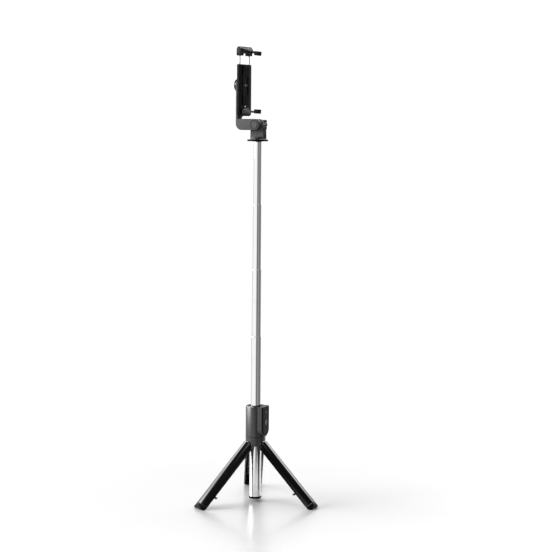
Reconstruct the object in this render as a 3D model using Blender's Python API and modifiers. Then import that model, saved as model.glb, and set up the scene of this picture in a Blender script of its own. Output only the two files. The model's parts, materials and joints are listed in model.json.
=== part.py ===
"""A tripod selfie stick: telescopic tube, three fold-out legs, docked remote, folding head and phone clamp."""
import math

import bmesh
import bpy
from mathutils import Matrix, Vector

MM = 0.001
DEGREE = math.radians(1)

# clearances
GAP = 0.3 * MM  # between pieces that touch
SHAFT_GAP = 0.1 * MM  # round a pin or a shank in its hole
SLIDE_GAP = 0.3 * MM  # between one tube and the next

# telescopic tube, from the outermost section inwards
TUBE_RADIUS = 8.75 * MM
TUBE_WALL = 0.31 * MM
TUBE_EXPOSED = [104.5 * MM, 100.2 * MM, 96.3 * MM, 92.5 * MM]
TUBE_OVERLAP = 20 * MM
TUBE_LIP = 3 * MM  # what each section shows when the stick is closed
TUBE_NECK = 1.2 * MM  # height of the roll at a mouth
TUBE_FLARE = 0.6 * MM
BASE_CLEARANCE = 5.2 * MM  # from the ground to the bottom cap
CAP_PLUG = 8 * MM  # how far the bottom cap reaches up the tube
CAP_DOME = 1.4 * MM
BUSH_HEIGHT = 4 * MM
BUSH_WALL = 1.2 * MM
SPINDLE_PLUG = 14 * MM  # how far the head's spindle reaches down the top tube
SPINDLE_REACH = 2.4 * MM  # how far it stands above the flange

HUB_RADIUS = 15 * MM

# legs
LEG_LENGTH = 125 * MM
LEG_RADIUS = HUB_RADIUS + 1.5 * MM
LEG_WALL = 2 * MM
LEG_SPLAY = 44.5 * DEGREE
LEG_HALF_ANGLE = 59 * DEGREE
LEG_AZIMUTHS = {"right": -30 * DEGREE, "rear": 90 * DEGREE, "left": 210 * DEGREE}
PIVOT_RADIUS = HUB_RADIUS - 3.5 * MM
KNUCKLE_RADIUS = 2.3 * MM
KNUCKLE_HALF = 3.8 * MM
PIN_RADIUS = 1 * MM
PIN_HALF = 8.6 * MM
LEG_TOP_DROP = 2 * MM  # the shell starts this far below its pivot
FOOT_LENGTH = 7 * MM
FOOT_FLAT = 1.4 * MM  # how deep the ground facet is cut into the foot's corner
PEG_DROP = 95 * MM
PEG_RADIUS = 0.9 * MM
PEG_TIP = 4 * MM  # how near to the stick's axis the peg's tip comes

# hub
HUB_WALL = 2.2 * MM
SEAM_RISE = 8.8 * MM  # seam above the leg pivots
HUB_SLEEVE_HEIGHT = 46.1 * MM
SLOT_TOP_RISE = 3.5 * MM
SLOT_TOP_HALF = 4.2 * MM
SLOT_SLOPE = 1.15
APRON_DROP = 4.8 * MM  # hub's lowest edge below the leg pivots

# remote
DOCK_AZIMUTH = LEG_AZIMUTHS["right"]
DOCK_FLOOR = 9.9 * MM
DOCK_WALL = 1.5 * MM
DOCK_RECESS = 1 * MM  # the remote's face stands this far proud of the housing round it
REMOTE_WIDTH = 20 * MM
REMOTE_DEPTH = 7.3 * MM
REMOTE_WALL = 1 * MM
REMOTE_SPLIT = 3.6 * MM  # depth of the tray
BUTTON_PROUD = 0.4 * MM
BUTTONS = {"shutter_button": (4.2 * MM, -24 * MM), "mode_button": (2.2 * MM, -8.5 * MM)}
CELL_RADIUS = 8 * MM
CELL_THICKNESS = 2 * MM
BOARD_THICKNESS = 0.8 * MM

# head
HEAD_AZIMUTH = -35 * DEGREE  # the phone looks this way
FLANGE_RADIUS = 15.5 * MM
FLANGE_THICKNESS = 3 * MM
SPINDLE_RADIUS = 3.5 * MM
TILT_RISE = 24.5 * MM  # tilt axis above the top of the tube
BLOCK_HALF = 11 * MM
BLOCK_NEAR = -2.7 * MM
BLOCK_FAR = 6 * MM
BLOCK_FLARE = 0.8 * MM  # how much wider the block is at its foot
BOSS_RADIUS = 9.5 * MM
BOSS_HEIGHT = 3.4 * MM
BLOCK_GROOVE = 1.2 * MM  # width of the grooves in the block's far end
BLOCK_GROOVE_PITCH = 3 * MM
BLOCK_GROOVE_DEPTH = 0.9 * MM
ARM_HALF = 8.25 * MM
ARM_NEAR = -11 * MM
ARM_THICKNESS = 8 * MM
ARM_REACH = 32 * MM  # tilt axis to the back of the upright
ARM_ELBOW = 10 * MM
UPRIGHT_THICKNESS = 3.7 * MM
BOLT_RADIUS = 2.5 * MM
BOLT_HEAD_RADIUS = 6.2 * MM
BOLT_HEAD_THICKNESS = 1.3 * MM
BOLT_HEAD_SINK = 1.2 * MM
KNOB_BARREL = 4.2 * MM
WING_HALF = 7.2 * MM
WING_REACH = 22.5 * MM

# phone clamp
CLAMP_BELOW = 45.1 * MM  # swivel axis to the clamp's lower end
SWIVEL_RISE = CLAMP_BELOW + 12.2 * MM  # swivel axis above the tilt axis
KNOB_RADIUS = 9.6 * MM
KNOB_THICKNESS = 4.7 * MM
SHANK_RADIUS = 2 * MM
SHANK_GRIP = 3 * MM  # how far the bolt's shank reaches into the knob
SWIVEL_HEAD_RADIUS = 4 * MM
SWIVEL_HEAD_SINK = 1.5 * MM  # clamp's face to the underside of the bolt's head
SWIVEL_HEAD_THICKNESS = 1.3 * MM
WASHER_RADIUS = 7 * MM
WASHER_THICKNESS = 0.7 * MM
CLAMP_HALF = 16 * MM
CLAMP_ABOVE = 30.4 * MM
CLAMP_CORNER = 5 * MM
CLAMP_THICKNESS = 5 * MM
CLAMP_WALL = 1 * MM
CLAMP_BACK_SHARE = 2.6 * MM
PANEL_HALF = 8 * MM
PANEL_THICKNESS = 0.8 * MM
PANEL_BELOW = 29 * MM
PANEL_RIM = 3.4 * MM  # panel left each side of its window
WINDOW_BELOW = 14.5 * MM
WINDOW_ABOVE = 12 * MM
RIVET_DROP = 31.2 * MM
RIVET_OFFSET = -2 * MM
RIVET_RADIUS = 1.5 * MM
RIVET_HEIGHT = 1.3 * MM
SCREW_RADIUS = 2 * MM
SCREW_HEIGHT = 1.1 * MM
ROD_RADIUS = 1.2 * MM
ROD_OFFSET = 12.4 * MM
JAW_OPENING = 12.5 * MM  # rods that show between the body and the upper jaw
JAW_HEIGHT = 14 * MM
JAW_FINGER = 13.5 * MM
JAW_NECK = 4.2 * MM
JAW_BAR = 3 * MM
JAW_BAR_DROP = 8.6 * MM  # top of the upper jaw to the underside of its bar
JAW_BAR_RISE = 5.9 * MM  # bottom of the clamp to the underside of the lower jaw's bar
UPPER_DROOP = 8 * DEGREE  # how far the upper finger and its pad slope down
LOWER_DROOP = 4 * DEGREE
LOWER_JAW_HALF = 9 * MM
FINGER_ROOT = 5.5 * MM
FINGER_TIP = 3.2 * MM
FINGER_NECK = 2.2 * MM
PAD_DEPTH = 7.1 * MM
PAD_HALF = 4.9 * MM
PAD_HEIGHT = 6 * MM
PAD_END = 2 * MM  # rubber beyond the end of its finger
PAD_SKIN = 0.6 * MM  # rubber behind the finger's bar, clear of the socket's gap
ROD_TRAVEL = 59 * MM  # top of the clamp to the foot of the rods
ROD_GRIP = 8 * MM  # rod that is held in the upper jaw
JAW_NOTCH_HALF = 7 * MM
JAW_NOTCH_HEIGHT = 3.5 * MM
SHOULDER = 6 * MM  # ring in the clamp that the swivel bolt's head bears on

ARC_STEPS = 6  # facets in a quarter turn of an outline
TURN_STEPS = 48


def tube_radius(section):
    """Outer radius of a tube section, 0 being the outermost."""
    return TUBE_RADIUS - section * (TUBE_WALL + SLIDE_GAP)


LEG_CHORD = LEG_RADIUS * math.cos(LEG_HALF_ANGLE)
PIVOT_HEIGHT = (
    LEG_LENGTH * math.cos(LEG_SPLAY) + (PIVOT_RADIUS - LEG_CHORD) * math.sin(LEG_SPLAY) - FOOT_FLAT
)
SEAM_HEIGHT = PIVOT_HEIGHT + SEAM_RISE
HUB_TOP = SEAM_HEIGHT + HUB_SLEEVE_HEIGHT
TUBE_TOP = HUB_TOP + sum(TUBE_EXPOSED)
CLAMP_BACK = -ARM_REACH + UPRIGHT_THICKNESS + GAP + WASHER_THICKNESS + GAP
CLAMP_FACE = CLAMP_BACK + CLAMP_THICKNESS


# --- tools ---------------------------------------------------------------------------------------


def clear_scene():
    for thing in list(bpy.data.objects):
        bpy.data.objects.remove(thing)


def collection(name):
    made = bpy.data.collections.new(name)
    bpy.context.scene.collection.children.link(made)
    return made


clear_scene()
PARTS = collection("selfie_stick")
CUTTERS = collection("cutters")


def look(name, colour, roughness, metallic=0.0):
    made = bpy.data.materials.new(name)
    made.use_nodes = True
    shader = made.node_tree.nodes["Principled BSDF"]
    shader.inputs["Base Color"].default_value = (*colour, 1)
    shader.inputs["Roughness"].default_value = roughness
    shader.inputs["Metallic"].default_value = metallic
    return made


CHROME = look("chrome", (0.82, 0.82, 0.84), 0.06, 1.0)
STEEL = look("steel", (0.62, 0.62, 0.63), 0.3, 1.0)
GLOSS_BLACK = look("gloss_black", (0.012, 0.012, 0.013), 0.12)
SATIN_BLACK = look("satin_black", (0.05, 0.05, 0.055), 0.4)
GREY_PLASTIC = look("grey_plastic", (0.12, 0.12, 0.125), 0.5)
RUBBER = look("rubber", (0.025, 0.025, 0.026), 0.75)
BRASS = look("brass", (0.7, 0.52, 0.25), 0.35, 1.0)
BOARD_GREEN = look("board_green", (0.03, 0.16, 0.07), 0.5)


def empty(name, parent=None, location=(0, 0, 0), rotation=(0, 0, 0)):
    made = bpy.data.objects.new(name, None)
    PARTS.objects.link(made)
    made.parent = parent
    made.location = location
    made.rotation_euler = rotation
    return made


def piece(name, mesh, finish, parent):
    """A new object; with no finish it is a cutter or an added shape, and stays hidden."""
    made = bpy.data.objects.new(name, mesh)
    (PARTS if finish else CUTTERS).objects.link(made)
    made.parent = parent
    if finish:
        mesh.materials.append(finish)
    else:
        made.hide_render = True
        made.display_type = "WIRE"
    return made


def turned(name, profile, finish, parent, closed=True, steps=TURN_STEPS, along="z", at=(0, 0, 0)):
    """A profile of (radius, height) points, down its outer side first, spun round an axis."""
    mesh = bpy.data.meshes.new(name)
    last = len(profile) - 1
    edges = [(i, i + 1) for i in range(last)] + ([(last, 0)] if closed else [])
    mesh.from_pydata([(r, 0, z) for r, z in profile], edges, [])
    made = piece(name, mesh, finish, parent)
    made.location = at
    made.rotation_euler = {"z": (0, 0, 0), "x": (0, 90 * DEGREE, 0), "y": (-90 * DEGREE, 0, 0)}[along]
    screw = made.modifiers.new("turn", "SCREW")
    screw.steps = screw.render_steps = steps
    screw.use_merge_vertices = True
    screw.merge_threshold = 0.00001
    screw.use_smooth_shade = True
    return made


def ring(name, outer, inner, low, high, finish, parent, **more):
    return turned(name, [(outer, high), (outer, low), (inner, low), (inner, high)], finish, parent, **more)


def rod(name, radius, low, high, finish, parent, **more):
    profile = [(0, high), (radius, high), (radius, low), (0, low)]
    return turned(name, profile, finish, parent, closed=False, **more)


def arc(centre, radius, start, end):
    count = max(1, math.ceil(abs(end - start) / (90 * DEGREE) * ARC_STEPS))
    turns = [start + (end - start) * i / count for i in range(count + 1)]
    return [(centre[0] + radius * math.cos(a), centre[1] + radius * math.sin(a)) for a in turns]


def rounded(corners):
    """An outline whose corners (x, y, radius) run anticlockwise, each made an arc."""
    outline = []
    for i, (x, y, radius) in enumerate(corners):
        here = Vector((x, y))
        before = (Vector(corners[i - 1][:2]) - here).normalized()
        after = (Vector(corners[(i + 1) % len(corners)][:2]) - here).normalized()
        if radius == 0:
            outline.append((x, y))
            continue
        half = before.angle(after) / 2
        middle = here + (before + after).normalized() * radius / math.sin(half)
        first = here + before * radius / math.tan(half) - middle
        last = here + after * radius / math.tan(half) - middle
        start = math.atan2(first.y, first.x)
        turn = math.remainder(math.atan2(last.y, last.x) - start, 2 * math.pi)
        outline += arc(middle, radius, start, start + turn)
    return outline


def rectangle(low, high, radius=0.0):
    (a, b), (c, d) = low, high
    return rounded([(a, b, radius), (c, b, radius), (c, d, radius), (a, d, radius)])


FACING = {
    "x": Matrix(((0, 0, 1, 0), (1, 0, 0, 0), (0, 1, 0, 0), (0, 0, 0, 1))),
    "y": Matrix(((1, 0, 0, 0), (0, 0, -1, 0), (0, 1, 0, 0), (0, 0, 0, 1))),
    "z": Matrix.Identity(4),
}


def slab(name, outline, low, high, facing, finish, parent, edge=0.0):
    """A flat outline given thickness from low to high along the axis that it faces."""
    curve = bpy.data.curves.new(name, "CURVE")
    curve.dimensions = "2D"
    curve.fill_mode = "BOTH"
    curve.extrude = (high - low) / 2
    spline = curve.splines.new("POLY")
    spline.points.add(len(outline) - 1)
    for point, (u, v) in zip(spline.points, outline):
        point.co = (u, v, 0, 1)
    spline.use_cyclic_u = True
    drawn = bpy.data.objects.new(name + "_outline", curve)
    CUTTERS.objects.link(drawn)
    bpy.context.view_layer.update()
    mesh = bpy.data.meshes.new_from_object(drawn.evaluated_get(bpy.context.evaluated_depsgraph_get()))
    bpy.data.objects.remove(drawn)
    middle = (low + high) / 2
    shift = Matrix.Translation((0, 0, -middle if facing == "y" else middle))
    mesh.transform(FACING[facing] @ shift)
    weld(mesh)
    made = piece(name, mesh, finish, parent)
    if edge:
        soften(made, edge)
    return made


def weld(mesh):
    form = bmesh.new()
    form.from_mesh(mesh)
    bmesh.ops.remove_doubles(form, verts=form.verts, dist=0.000001)
    bmesh.ops.recalc_face_normals(form, faces=form.faces)
    form.to_mesh(mesh)
    form.free()


def soften(made, width, segments=2, angle=40):
    bevel = made.modifiers.new("edges", "BEVEL")
    bevel.width = width
    bevel.segments = segments
    bevel.limit_method = "ANGLE"
    bevel.angle_limit = angle * DEGREE
    return made


def shape(made, other, operation):
    boolean = made.modifiers.new(other.name, "BOOLEAN")
    boolean.operation = operation
    boolean.solver = "EXACT"
    boolean.object = other
    return made


def cut(made, *others):
    for other in others:
        shape(made, other, "DIFFERENCE")
    return made


def join(made, *others):
    for other in others:
        shape(made, other, "UNION")
    return made


# --- telescopic tube -----------------------------------------------------------------------------


def tube(name, section, low, high, parent, flare=0.0):
    """One section, rolled in a little at its mouth and, if asked, flared at its foot."""
    outer = tube_radius(section)
    inner = outer - TUBE_WALL
    neck = TUBE_WALL / 2
    profile = [(outer - neck, high), (outer, high - TUBE_NECK)]
    if flare:
        profile += [(outer, low + 3 * TUBE_NECK), (outer + flare, low)]
        profile += [(inner + flare, low), (inner, low + 3 * TUBE_NECK)]
    else:
        profile += [(outer, low), (inner, low)]
    profile += [(inner, high - TUBE_NECK), (inner, high)]
    return turned(name, profile, CHROME, parent)


def telescope(stick):
    """The base tube with its cap, and the four sections that slide in it."""
    tube("base_tube", 0, BASE_CLEARANCE + GAP, HUB_TOP - 1 * MM, stick, flare=TUBE_FLARE)
    bore = tube_radius(0) - TUBE_WALL - GAP
    rim = tube_radius(0) + TUBE_FLARE
    cap_top = BASE_CLEARANCE + CAP_PLUG
    throat = BASE_CLEARANCE + 3 * TUBE_NECK + GAP
    turned(
        "base_cap",
        [(0, cap_top), (bore, cap_top), (bore, throat), (bore, BASE_CLEARANCE),
         (rim, BASE_CLEARANCE), (rim - CAP_DOME, BASE_CLEARANCE - CAP_DOME),
         (0, BASE_CLEARANCE - CAP_DOME)],
        GLOSS_BLACK, stick, closed=False,
    )
    parent = stick
    mouth = HUB_TOP
    for section, exposed in enumerate(TUBE_EXPOSED, start=1):
        parent = empty(f"slide_{section + 1}", parent)
        low = mouth - TUBE_OVERLAP
        mouth += exposed
        last = section == len(TUBE_EXPOSED)
        name = "top_tube" if last else f"tube_{section + 1}"
        tube(name, section, low, mouth, parent)
        bush = tube_radius(section) - TUBE_WALL - GAP
        ring(f"{name}_bush", bush, bush - BUSH_WALL, low, low + BUSH_HEIGHT, BRASS, parent)
    plug = tube_radius(len(TUBE_EXPOSED)) - TUBE_WALL - GAP
    foot = TUBE_TOP - SPINDLE_PLUG
    spindle_top = TUBE_TOP + FLANGE_THICKNESS + SPINDLE_REACH
    turned(
        "head_spindle",
        [(0, spindle_top), (SPINDLE_RADIUS, spindle_top), (SPINDLE_RADIUS, TUBE_TOP - GAP),
         (plug, TUBE_TOP - GAP), (plug, foot), (0, foot)],
        STEEL, parent, closed=False,
    )
    return parent


# --- hub and legs --------------------------------------------------------------------------------


def slot_rise(offset):
    """Height of a leg slot's sloping edge above the pivot, at a distance to the side."""
    return SLOT_TOP_RISE - (abs(offset) - SLOT_TOP_HALF) * SLOT_SLOPE


def hub(stick):
    """The leg carrier with its slots and aprons, the inner core, the sleeve and the top collar."""
    bore = TUBE_RADIUS + GAP
    sleeve_bore = HUB_RADIUS - HUB_WALL
    core_radius = sleeve_bore - GAP
    low = PIVOT_HEIGHT - APRON_DROP
    carrier = ring("leg_carrier", HUB_RADIUS, bore, low, SEAM_HEIGHT, SATIN_BLACK, stick, steps=72)
    side = HUB_RADIUS
    for name, azimuth in LEG_AZIMUTHS.items():
        pivot = leg_frame(stick, f"pivot_{name}", azimuth)
        slot = rounded([
            (-side, -40 * MM, 0), (side, -40 * MM, 0), (side, slot_rise(side), 0),
            (SLOT_TOP_HALF, SLOT_TOP_RISE, 1 * MM), (-SLOT_TOP_HALF, SLOT_TOP_RISE, 1 * MM),
            (-side, slot_rise(side), 0),
        ])
        opening = slab(f"slot_{name}", slot, -PIVOT_RADIUS, HUB_RADIUS, "x", None, pivot)
        hole = rod(
            f"pin_hole_{name}", PIN_RADIUS + SHAFT_GAP, -PIN_HALF - GAP, PIN_HALF + GAP, None, pivot,
            along="y", steps=16,
        )
        cut(carrier, opening, hole)
        rod(f"leg_pin_{name}", PIN_RADIUS, -PIN_HALF, PIN_HALF, STEEL, pivot, along="y", steps=16)

    dock = empty("dock", stick, rotation=(0, 0, DOCK_AZIMUTH))
    floor_height = SEAM_HEIGHT + GAP + DOCK_WALL
    pocket = slab(
        "dock_pocket", tongue(REMOTE_WIDTH / 2 + GAP, floor_height, HUB_TOP + 5 * MM),
        DOCK_FLOOR, 2 * HUB_RADIUS, "x", None, dock,
    )
    housing = slab(
        "dock_housing", tongue(REMOTE_WIDTH / 2 + GAP + DOCK_WALL, SEAM_HEIGHT + GAP, HUB_TOP),
        sleeve_bore / 2, DOCK_FLOOR + GAP + REMOTE_DEPTH - DOCK_RECESS, "x", None, dock, edge=0.6 * MM,
    )
    bore_cutter = rod("sleeve_bore", sleeve_bore, 0, 2 * HUB_TOP, None, stick, steps=72)
    collar_low = HUB_TOP - 3 * MM
    core = ring("hub_core", core_radius, bore, SEAM_HEIGHT + GAP, collar_low - GAP, SATIN_BLACK, stick)
    collar = ring("hub_collar", core_radius, bore, collar_low, HUB_TOP - 1 * MM, GLOSS_BLACK, stick)
    edge = 0.8 * MM
    sleeve = turned(
        "hub_sleeve",
        [(HUB_RADIUS - edge, HUB_TOP), (HUB_RADIUS, HUB_TOP - edge), (HUB_RADIUS, SEAM_HEIGHT + GAP),
         (sleeve_bore, SEAM_HEIGHT + GAP), (sleeve_bore, HUB_TOP)],
        SATIN_BLACK, stick, steps=72,
    )
    cut(join(sleeve, housing), bore_cutter, pocket)
    cut(core, pocket)
    cut(collar, pocket)
    return dock


def tongue(half, low, high, top=0.0):
    """An upright outline with a half-round lower end."""
    return rounded([(-half, low, 0.98 * half), (half, low, 0.98 * half), (half, high, top), (-half, high, top)])


def leg_frame(parent, name, azimuth, splay=0.0):
    """An empty on a leg's pivot: its X points outwards and its Z up along the leg."""
    place = (PIVOT_RADIUS * math.cos(azimuth), PIVOT_RADIUS * math.sin(azimuth), PIVOT_HEIGHT)
    return empty(name, parent, place, (0, -splay, azimuth))


def leg(stick, side, azimuth, ground):
    """A shell that closes round the tube, with its knuckle, rubber foot and locking peg."""
    frame = leg_frame(stick, f"leg_joint_{side}", azimuth, LEG_SPLAY)
    axis = (-PIVOT_RADIUS, 0)
    bore = LEG_RADIUS - LEG_WALL
    section = arc(axis, LEG_RADIUS, -LEG_HALF_ANGLE, LEG_HALF_ANGLE)
    section += arc(axis, bore, LEG_HALF_ANGLE, -LEG_HALF_ANGLE)
    foot_top = -LEG_LENGTH + FOOT_LENGTH
    shell = slab(f"leg_{side}", section, foot_top + GAP, 0, "z", GLOSS_BLACK, frame)
    wide = LEG_RADIUS
    under = 0.9 * MM
    tongue_half = SLOT_TOP_HALF + (SLOT_TOP_RISE + LEG_TOP_DROP - under) / SLOT_SLOPE
    front = [
        (-wide, -LEG_LENGTH), (wide, -LEG_LENGTH), (wide, slot_rise(wide) - under),
        (tongue_half, -LEG_TOP_DROP), (-tongue_half, -LEG_TOP_DROP), (-wide, slot_rise(wide) - under),
    ]
    shape(shell, slab(f"leg_front_{side}", front, -2 * wide, wide, "x", None, frame), "INTERSECT")
    web = slab(
        f"leg_web_{side}",
        rectangle((-1 * MM, -9 * MM), (bore + 0.7 * MM - PIVOT_RADIUS, -0.5 * MM)),
        -KNUCKLE_HALF, KNUCKLE_HALF, "y", None, frame,
    )
    barrel = rod(
        f"leg_barrel_{side}", KNUCKLE_RADIUS, -KNUCKLE_HALF, KNUCKLE_HALF, None, frame,
        along="y", steps=24,
    )
    hole = rod(
        f"leg_hole_{side}", PIN_RADIUS + SHAFT_GAP, -2 * KNUCKLE_HALF, 2 * KNUCKLE_HALF, None, frame,
        along="y", steps=16,
    )
    join(shell, web, barrel)
    cut(shell, hole)

    pad = arc(axis, LEG_RADIUS, -LEG_HALF_ANGLE, LEG_HALF_ANGLE)
    foot = slab(f"foot_{side}", pad, -LEG_LENGTH, foot_top, "z", RUBBER, frame, edge=1.2 * MM)
    tenon_half = 5 * MM
    tenon = rectangle(
        (bore - 4 * MM - PIVOT_RADIUS, -tenon_half), (bore - 1.2 * MM - PIVOT_RADIUS, tenon_half)
    )
    join(foot, slab(f"foot_tenon_{side}", tenon, foot_top - 2 * MM, foot_top + 6 * MM, "z", None, frame))
    cut(foot, ground)

    peg_base = bore - 0.7 * MM - PIVOT_RADIUS
    tip = PEG_TIP - PIVOT_RADIUS
    turned(
        f"leg_peg_{side}",
        [(0, peg_base), (3 * PEG_RADIUS, peg_base), (3 * PEG_RADIUS, peg_base - 1 * MM),
         (PEG_RADIUS, peg_base - 1 * MM), (PEG_RADIUS, tip + 1.6 * MM),
         (1.7 * PEG_RADIUS, tip + 1 * MM), (1.7 * PEG_RADIUS, tip), (0, tip)],
        SATIN_BLACK, frame, closed=False, steps=16, along="x", at=(0, 0, -PEG_DROP),
    )


# --- remote --------------------------------------------------------------------------------------


def remote(dock):
    """A two-part case with its board, coin cell and two buttons; heights run down from its top."""
    low = SEAM_HEIGHT + GAP + DOCK_WALL + GAP - HUB_TOP
    frame = empty("remote", dock, location=(DOCK_FLOOR + GAP, 0, HUB_TOP))

    def outline(inset):
        return tongue(REMOTE_WIDTH / 2 - inset, low + inset, -inset, top=1.5 * MM - inset)

    split = REMOTE_SPLIT
    face = REMOTE_DEPTH
    tray = slab("remote_tray", outline(0), 0, split, "x", SATIN_BLACK, frame)
    cut(tray, slab("tray_hollow", outline(REMOTE_WALL), REMOTE_WALL, 2 * split, "x", None, frame))
    cover = slab("remote_cover", outline(0), split + GAP, face, "x", SATIN_BLACK, frame)
    cut(cover, slab("cover_hollow", outline(REMOTE_WALL), 0, face - REMOTE_WALL, "x", None, frame))
    board_low = REMOTE_WALL + GAP + CELL_THICKNESS + GAP
    board_high = board_low + BOARD_THICKNESS
    slab("remote_board", outline(REMOTE_WALL + GAP), board_low, board_high, "x", BOARD_GREEN, frame)
    cell_low = REMOTE_WALL + GAP
    cell_height = low + REMOTE_WALL + 2 * GAP + CELL_RADIUS + 2 * MM
    rod(
        "remote_cell", CELL_RADIUS, cell_low, cell_low + CELL_THICKNESS, STEEL, frame,
        along="x", steps=32, at=(0, 0, cell_height),
    )
    for name, (radius, height) in BUTTONS.items():
        hole = rod(
            f"{name}_hole", radius + GAP, board_low, 2 * face, None, frame,
            along="x", steps=32, at=(0, 0, height),
        )
        cut(cover, hole)
        flange_high = face - REMOTE_WALL - GAP
        flange_low = flange_high - 0.7 * MM
        profile = [
            (0, face + BUTTON_PROUD), (radius - 0.3 * MM, face + BUTTON_PROUD),
            (radius, face + BUTTON_PROUD - 0.3 * MM), (radius, flange_high),
            (radius + 0.8 * MM, flange_high), (radius + 0.8 * MM, flange_low), (0, flange_low),
        ]
        turned(
            name, profile, GLOSS_BLACK, frame, closed=False, steps=32, along="x", at=(0, 0, height)
        )


# --- folding head --------------------------------------------------------------------------------


def head(top_slide):
    """The flange and the block that carries the tilt bolt; returns the empty on the tilt axis."""
    frame = empty("head_joint", top_slide, (0, 0, TUBE_TOP), (0, 0, HEAD_AZIMUTH))
    bore = SPINDLE_RADIUS + SHAFT_GAP
    edge = 0.5 * MM
    flange_top = FLANGE_THICKNESS
    turned(
        "head_flange",
        [(FLANGE_RADIUS - edge, flange_top), (FLANGE_RADIUS, flange_top - edge), (FLANGE_RADIUS, edge),
         (FLANGE_RADIUS - edge, 0), (bore, 0), (bore, flange_top)],
        GLOSS_BLACK, frame,
    )
    block_low = FLANGE_THICKNESS + GAP
    boss_top = block_low + BOSS_HEIGHT
    foot_half = BLOCK_HALF + BLOCK_FLARE
    side = [(-foot_half, block_low), (foot_half, block_low), (BLOCK_HALF, TILT_RISE)]
    side += arc((0, TILT_RISE), ARM_HALF, 10 * DEGREE, 170 * DEGREE) + [(-BLOCK_HALF, TILT_RISE)]
    block = slab("head_block", side, BLOCK_NEAR, BLOCK_FAR, "y", GREY_PLASTIC, frame, edge=0.6 * MM)
    join(block, rod("head_boss", BOSS_RADIUS, block_low, boss_top, None, frame))
    cut(
        block,
        rod("spindle_hole", bore, 0, FLANGE_THICKNESS + SPINDLE_REACH + GAP, None, frame, steps=32),
        rod(
            "block_bolt_hole", BOLT_RADIUS + SHAFT_GAP, 2 * BLOCK_NEAR, 2 * BLOCK_FAR, None, frame,
            along="y", steps=24, at=(0, 0, TILT_RISE),
        ),
    )
    for i in (-0.5, 0.5):
        middle = (BLOCK_NEAR + BLOCK_FAR) / 2 + i * BLOCK_GROOVE_PITCH
        groove = slab(
            f"block_groove_{'near' if i < 0 else 'far'}",
            rectangle((BLOCK_HALF - BLOCK_GROOVE_DEPTH, 2 * block_low), (2 * BLOCK_HALF, TILT_RISE - ARM_HALF / 2)),
            middle - BLOCK_GROOVE / 2, middle + BLOCK_GROOVE / 2, "y", None, frame,
        )
        cut(block, groove)

    tilt = empty("tilt_joint", frame, (0, 0, TILT_RISE))
    head_low = ARM_NEAR + BOLT_HEAD_SINK - BOLT_HEAD_THICKNESS
    bolt_end = BLOCK_FAR + 10 * MM
    turned(
        "tilt_bolt",
        [(0, bolt_end), (BOLT_RADIUS, bolt_end), (BOLT_RADIUS, head_low + BOLT_HEAD_THICKNESS),
         (BOLT_HEAD_RADIUS, head_low + BOLT_HEAD_THICKNESS), (BOLT_HEAD_RADIUS, head_low + 0.3 * MM),
         (BOLT_HEAD_RADIUS - 0.3 * MM, head_low), (0, head_low)],
        GREY_PLASTIC, tilt, closed=False, steps=40, along="y",
    )
    knob_low = BLOCK_FAR + GAP
    wing_low = BLOCK_FAR + 8 * MM
    knob = rod("tilt_knob", KNOB_BARREL, knob_low, WING_REACH - 2 * MM, GLOSS_BLACK, tilt, along="y", steps=32)
    wing = rounded([
        (-2.4 * MM, -WING_HALF, 2 * MM), (2.4 * MM, -WING_HALF, 2 * MM), (1.5 * MM, 0, 0),
        (2.4 * MM, WING_HALF, 2 * MM), (-2.4 * MM, WING_HALF, 2 * MM), (-1.5 * MM, 0, 0),
    ])
    join(knob, slab("knob_wings", wing, wing_low, WING_REACH, "y", None, tilt))
    thread = rod(
        "knob_thread", BOLT_RADIUS + SHAFT_GAP, 0, bolt_end + GAP, None, tilt, along="y", steps=24
    )
    cut(knob, thread)
    return tilt


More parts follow.
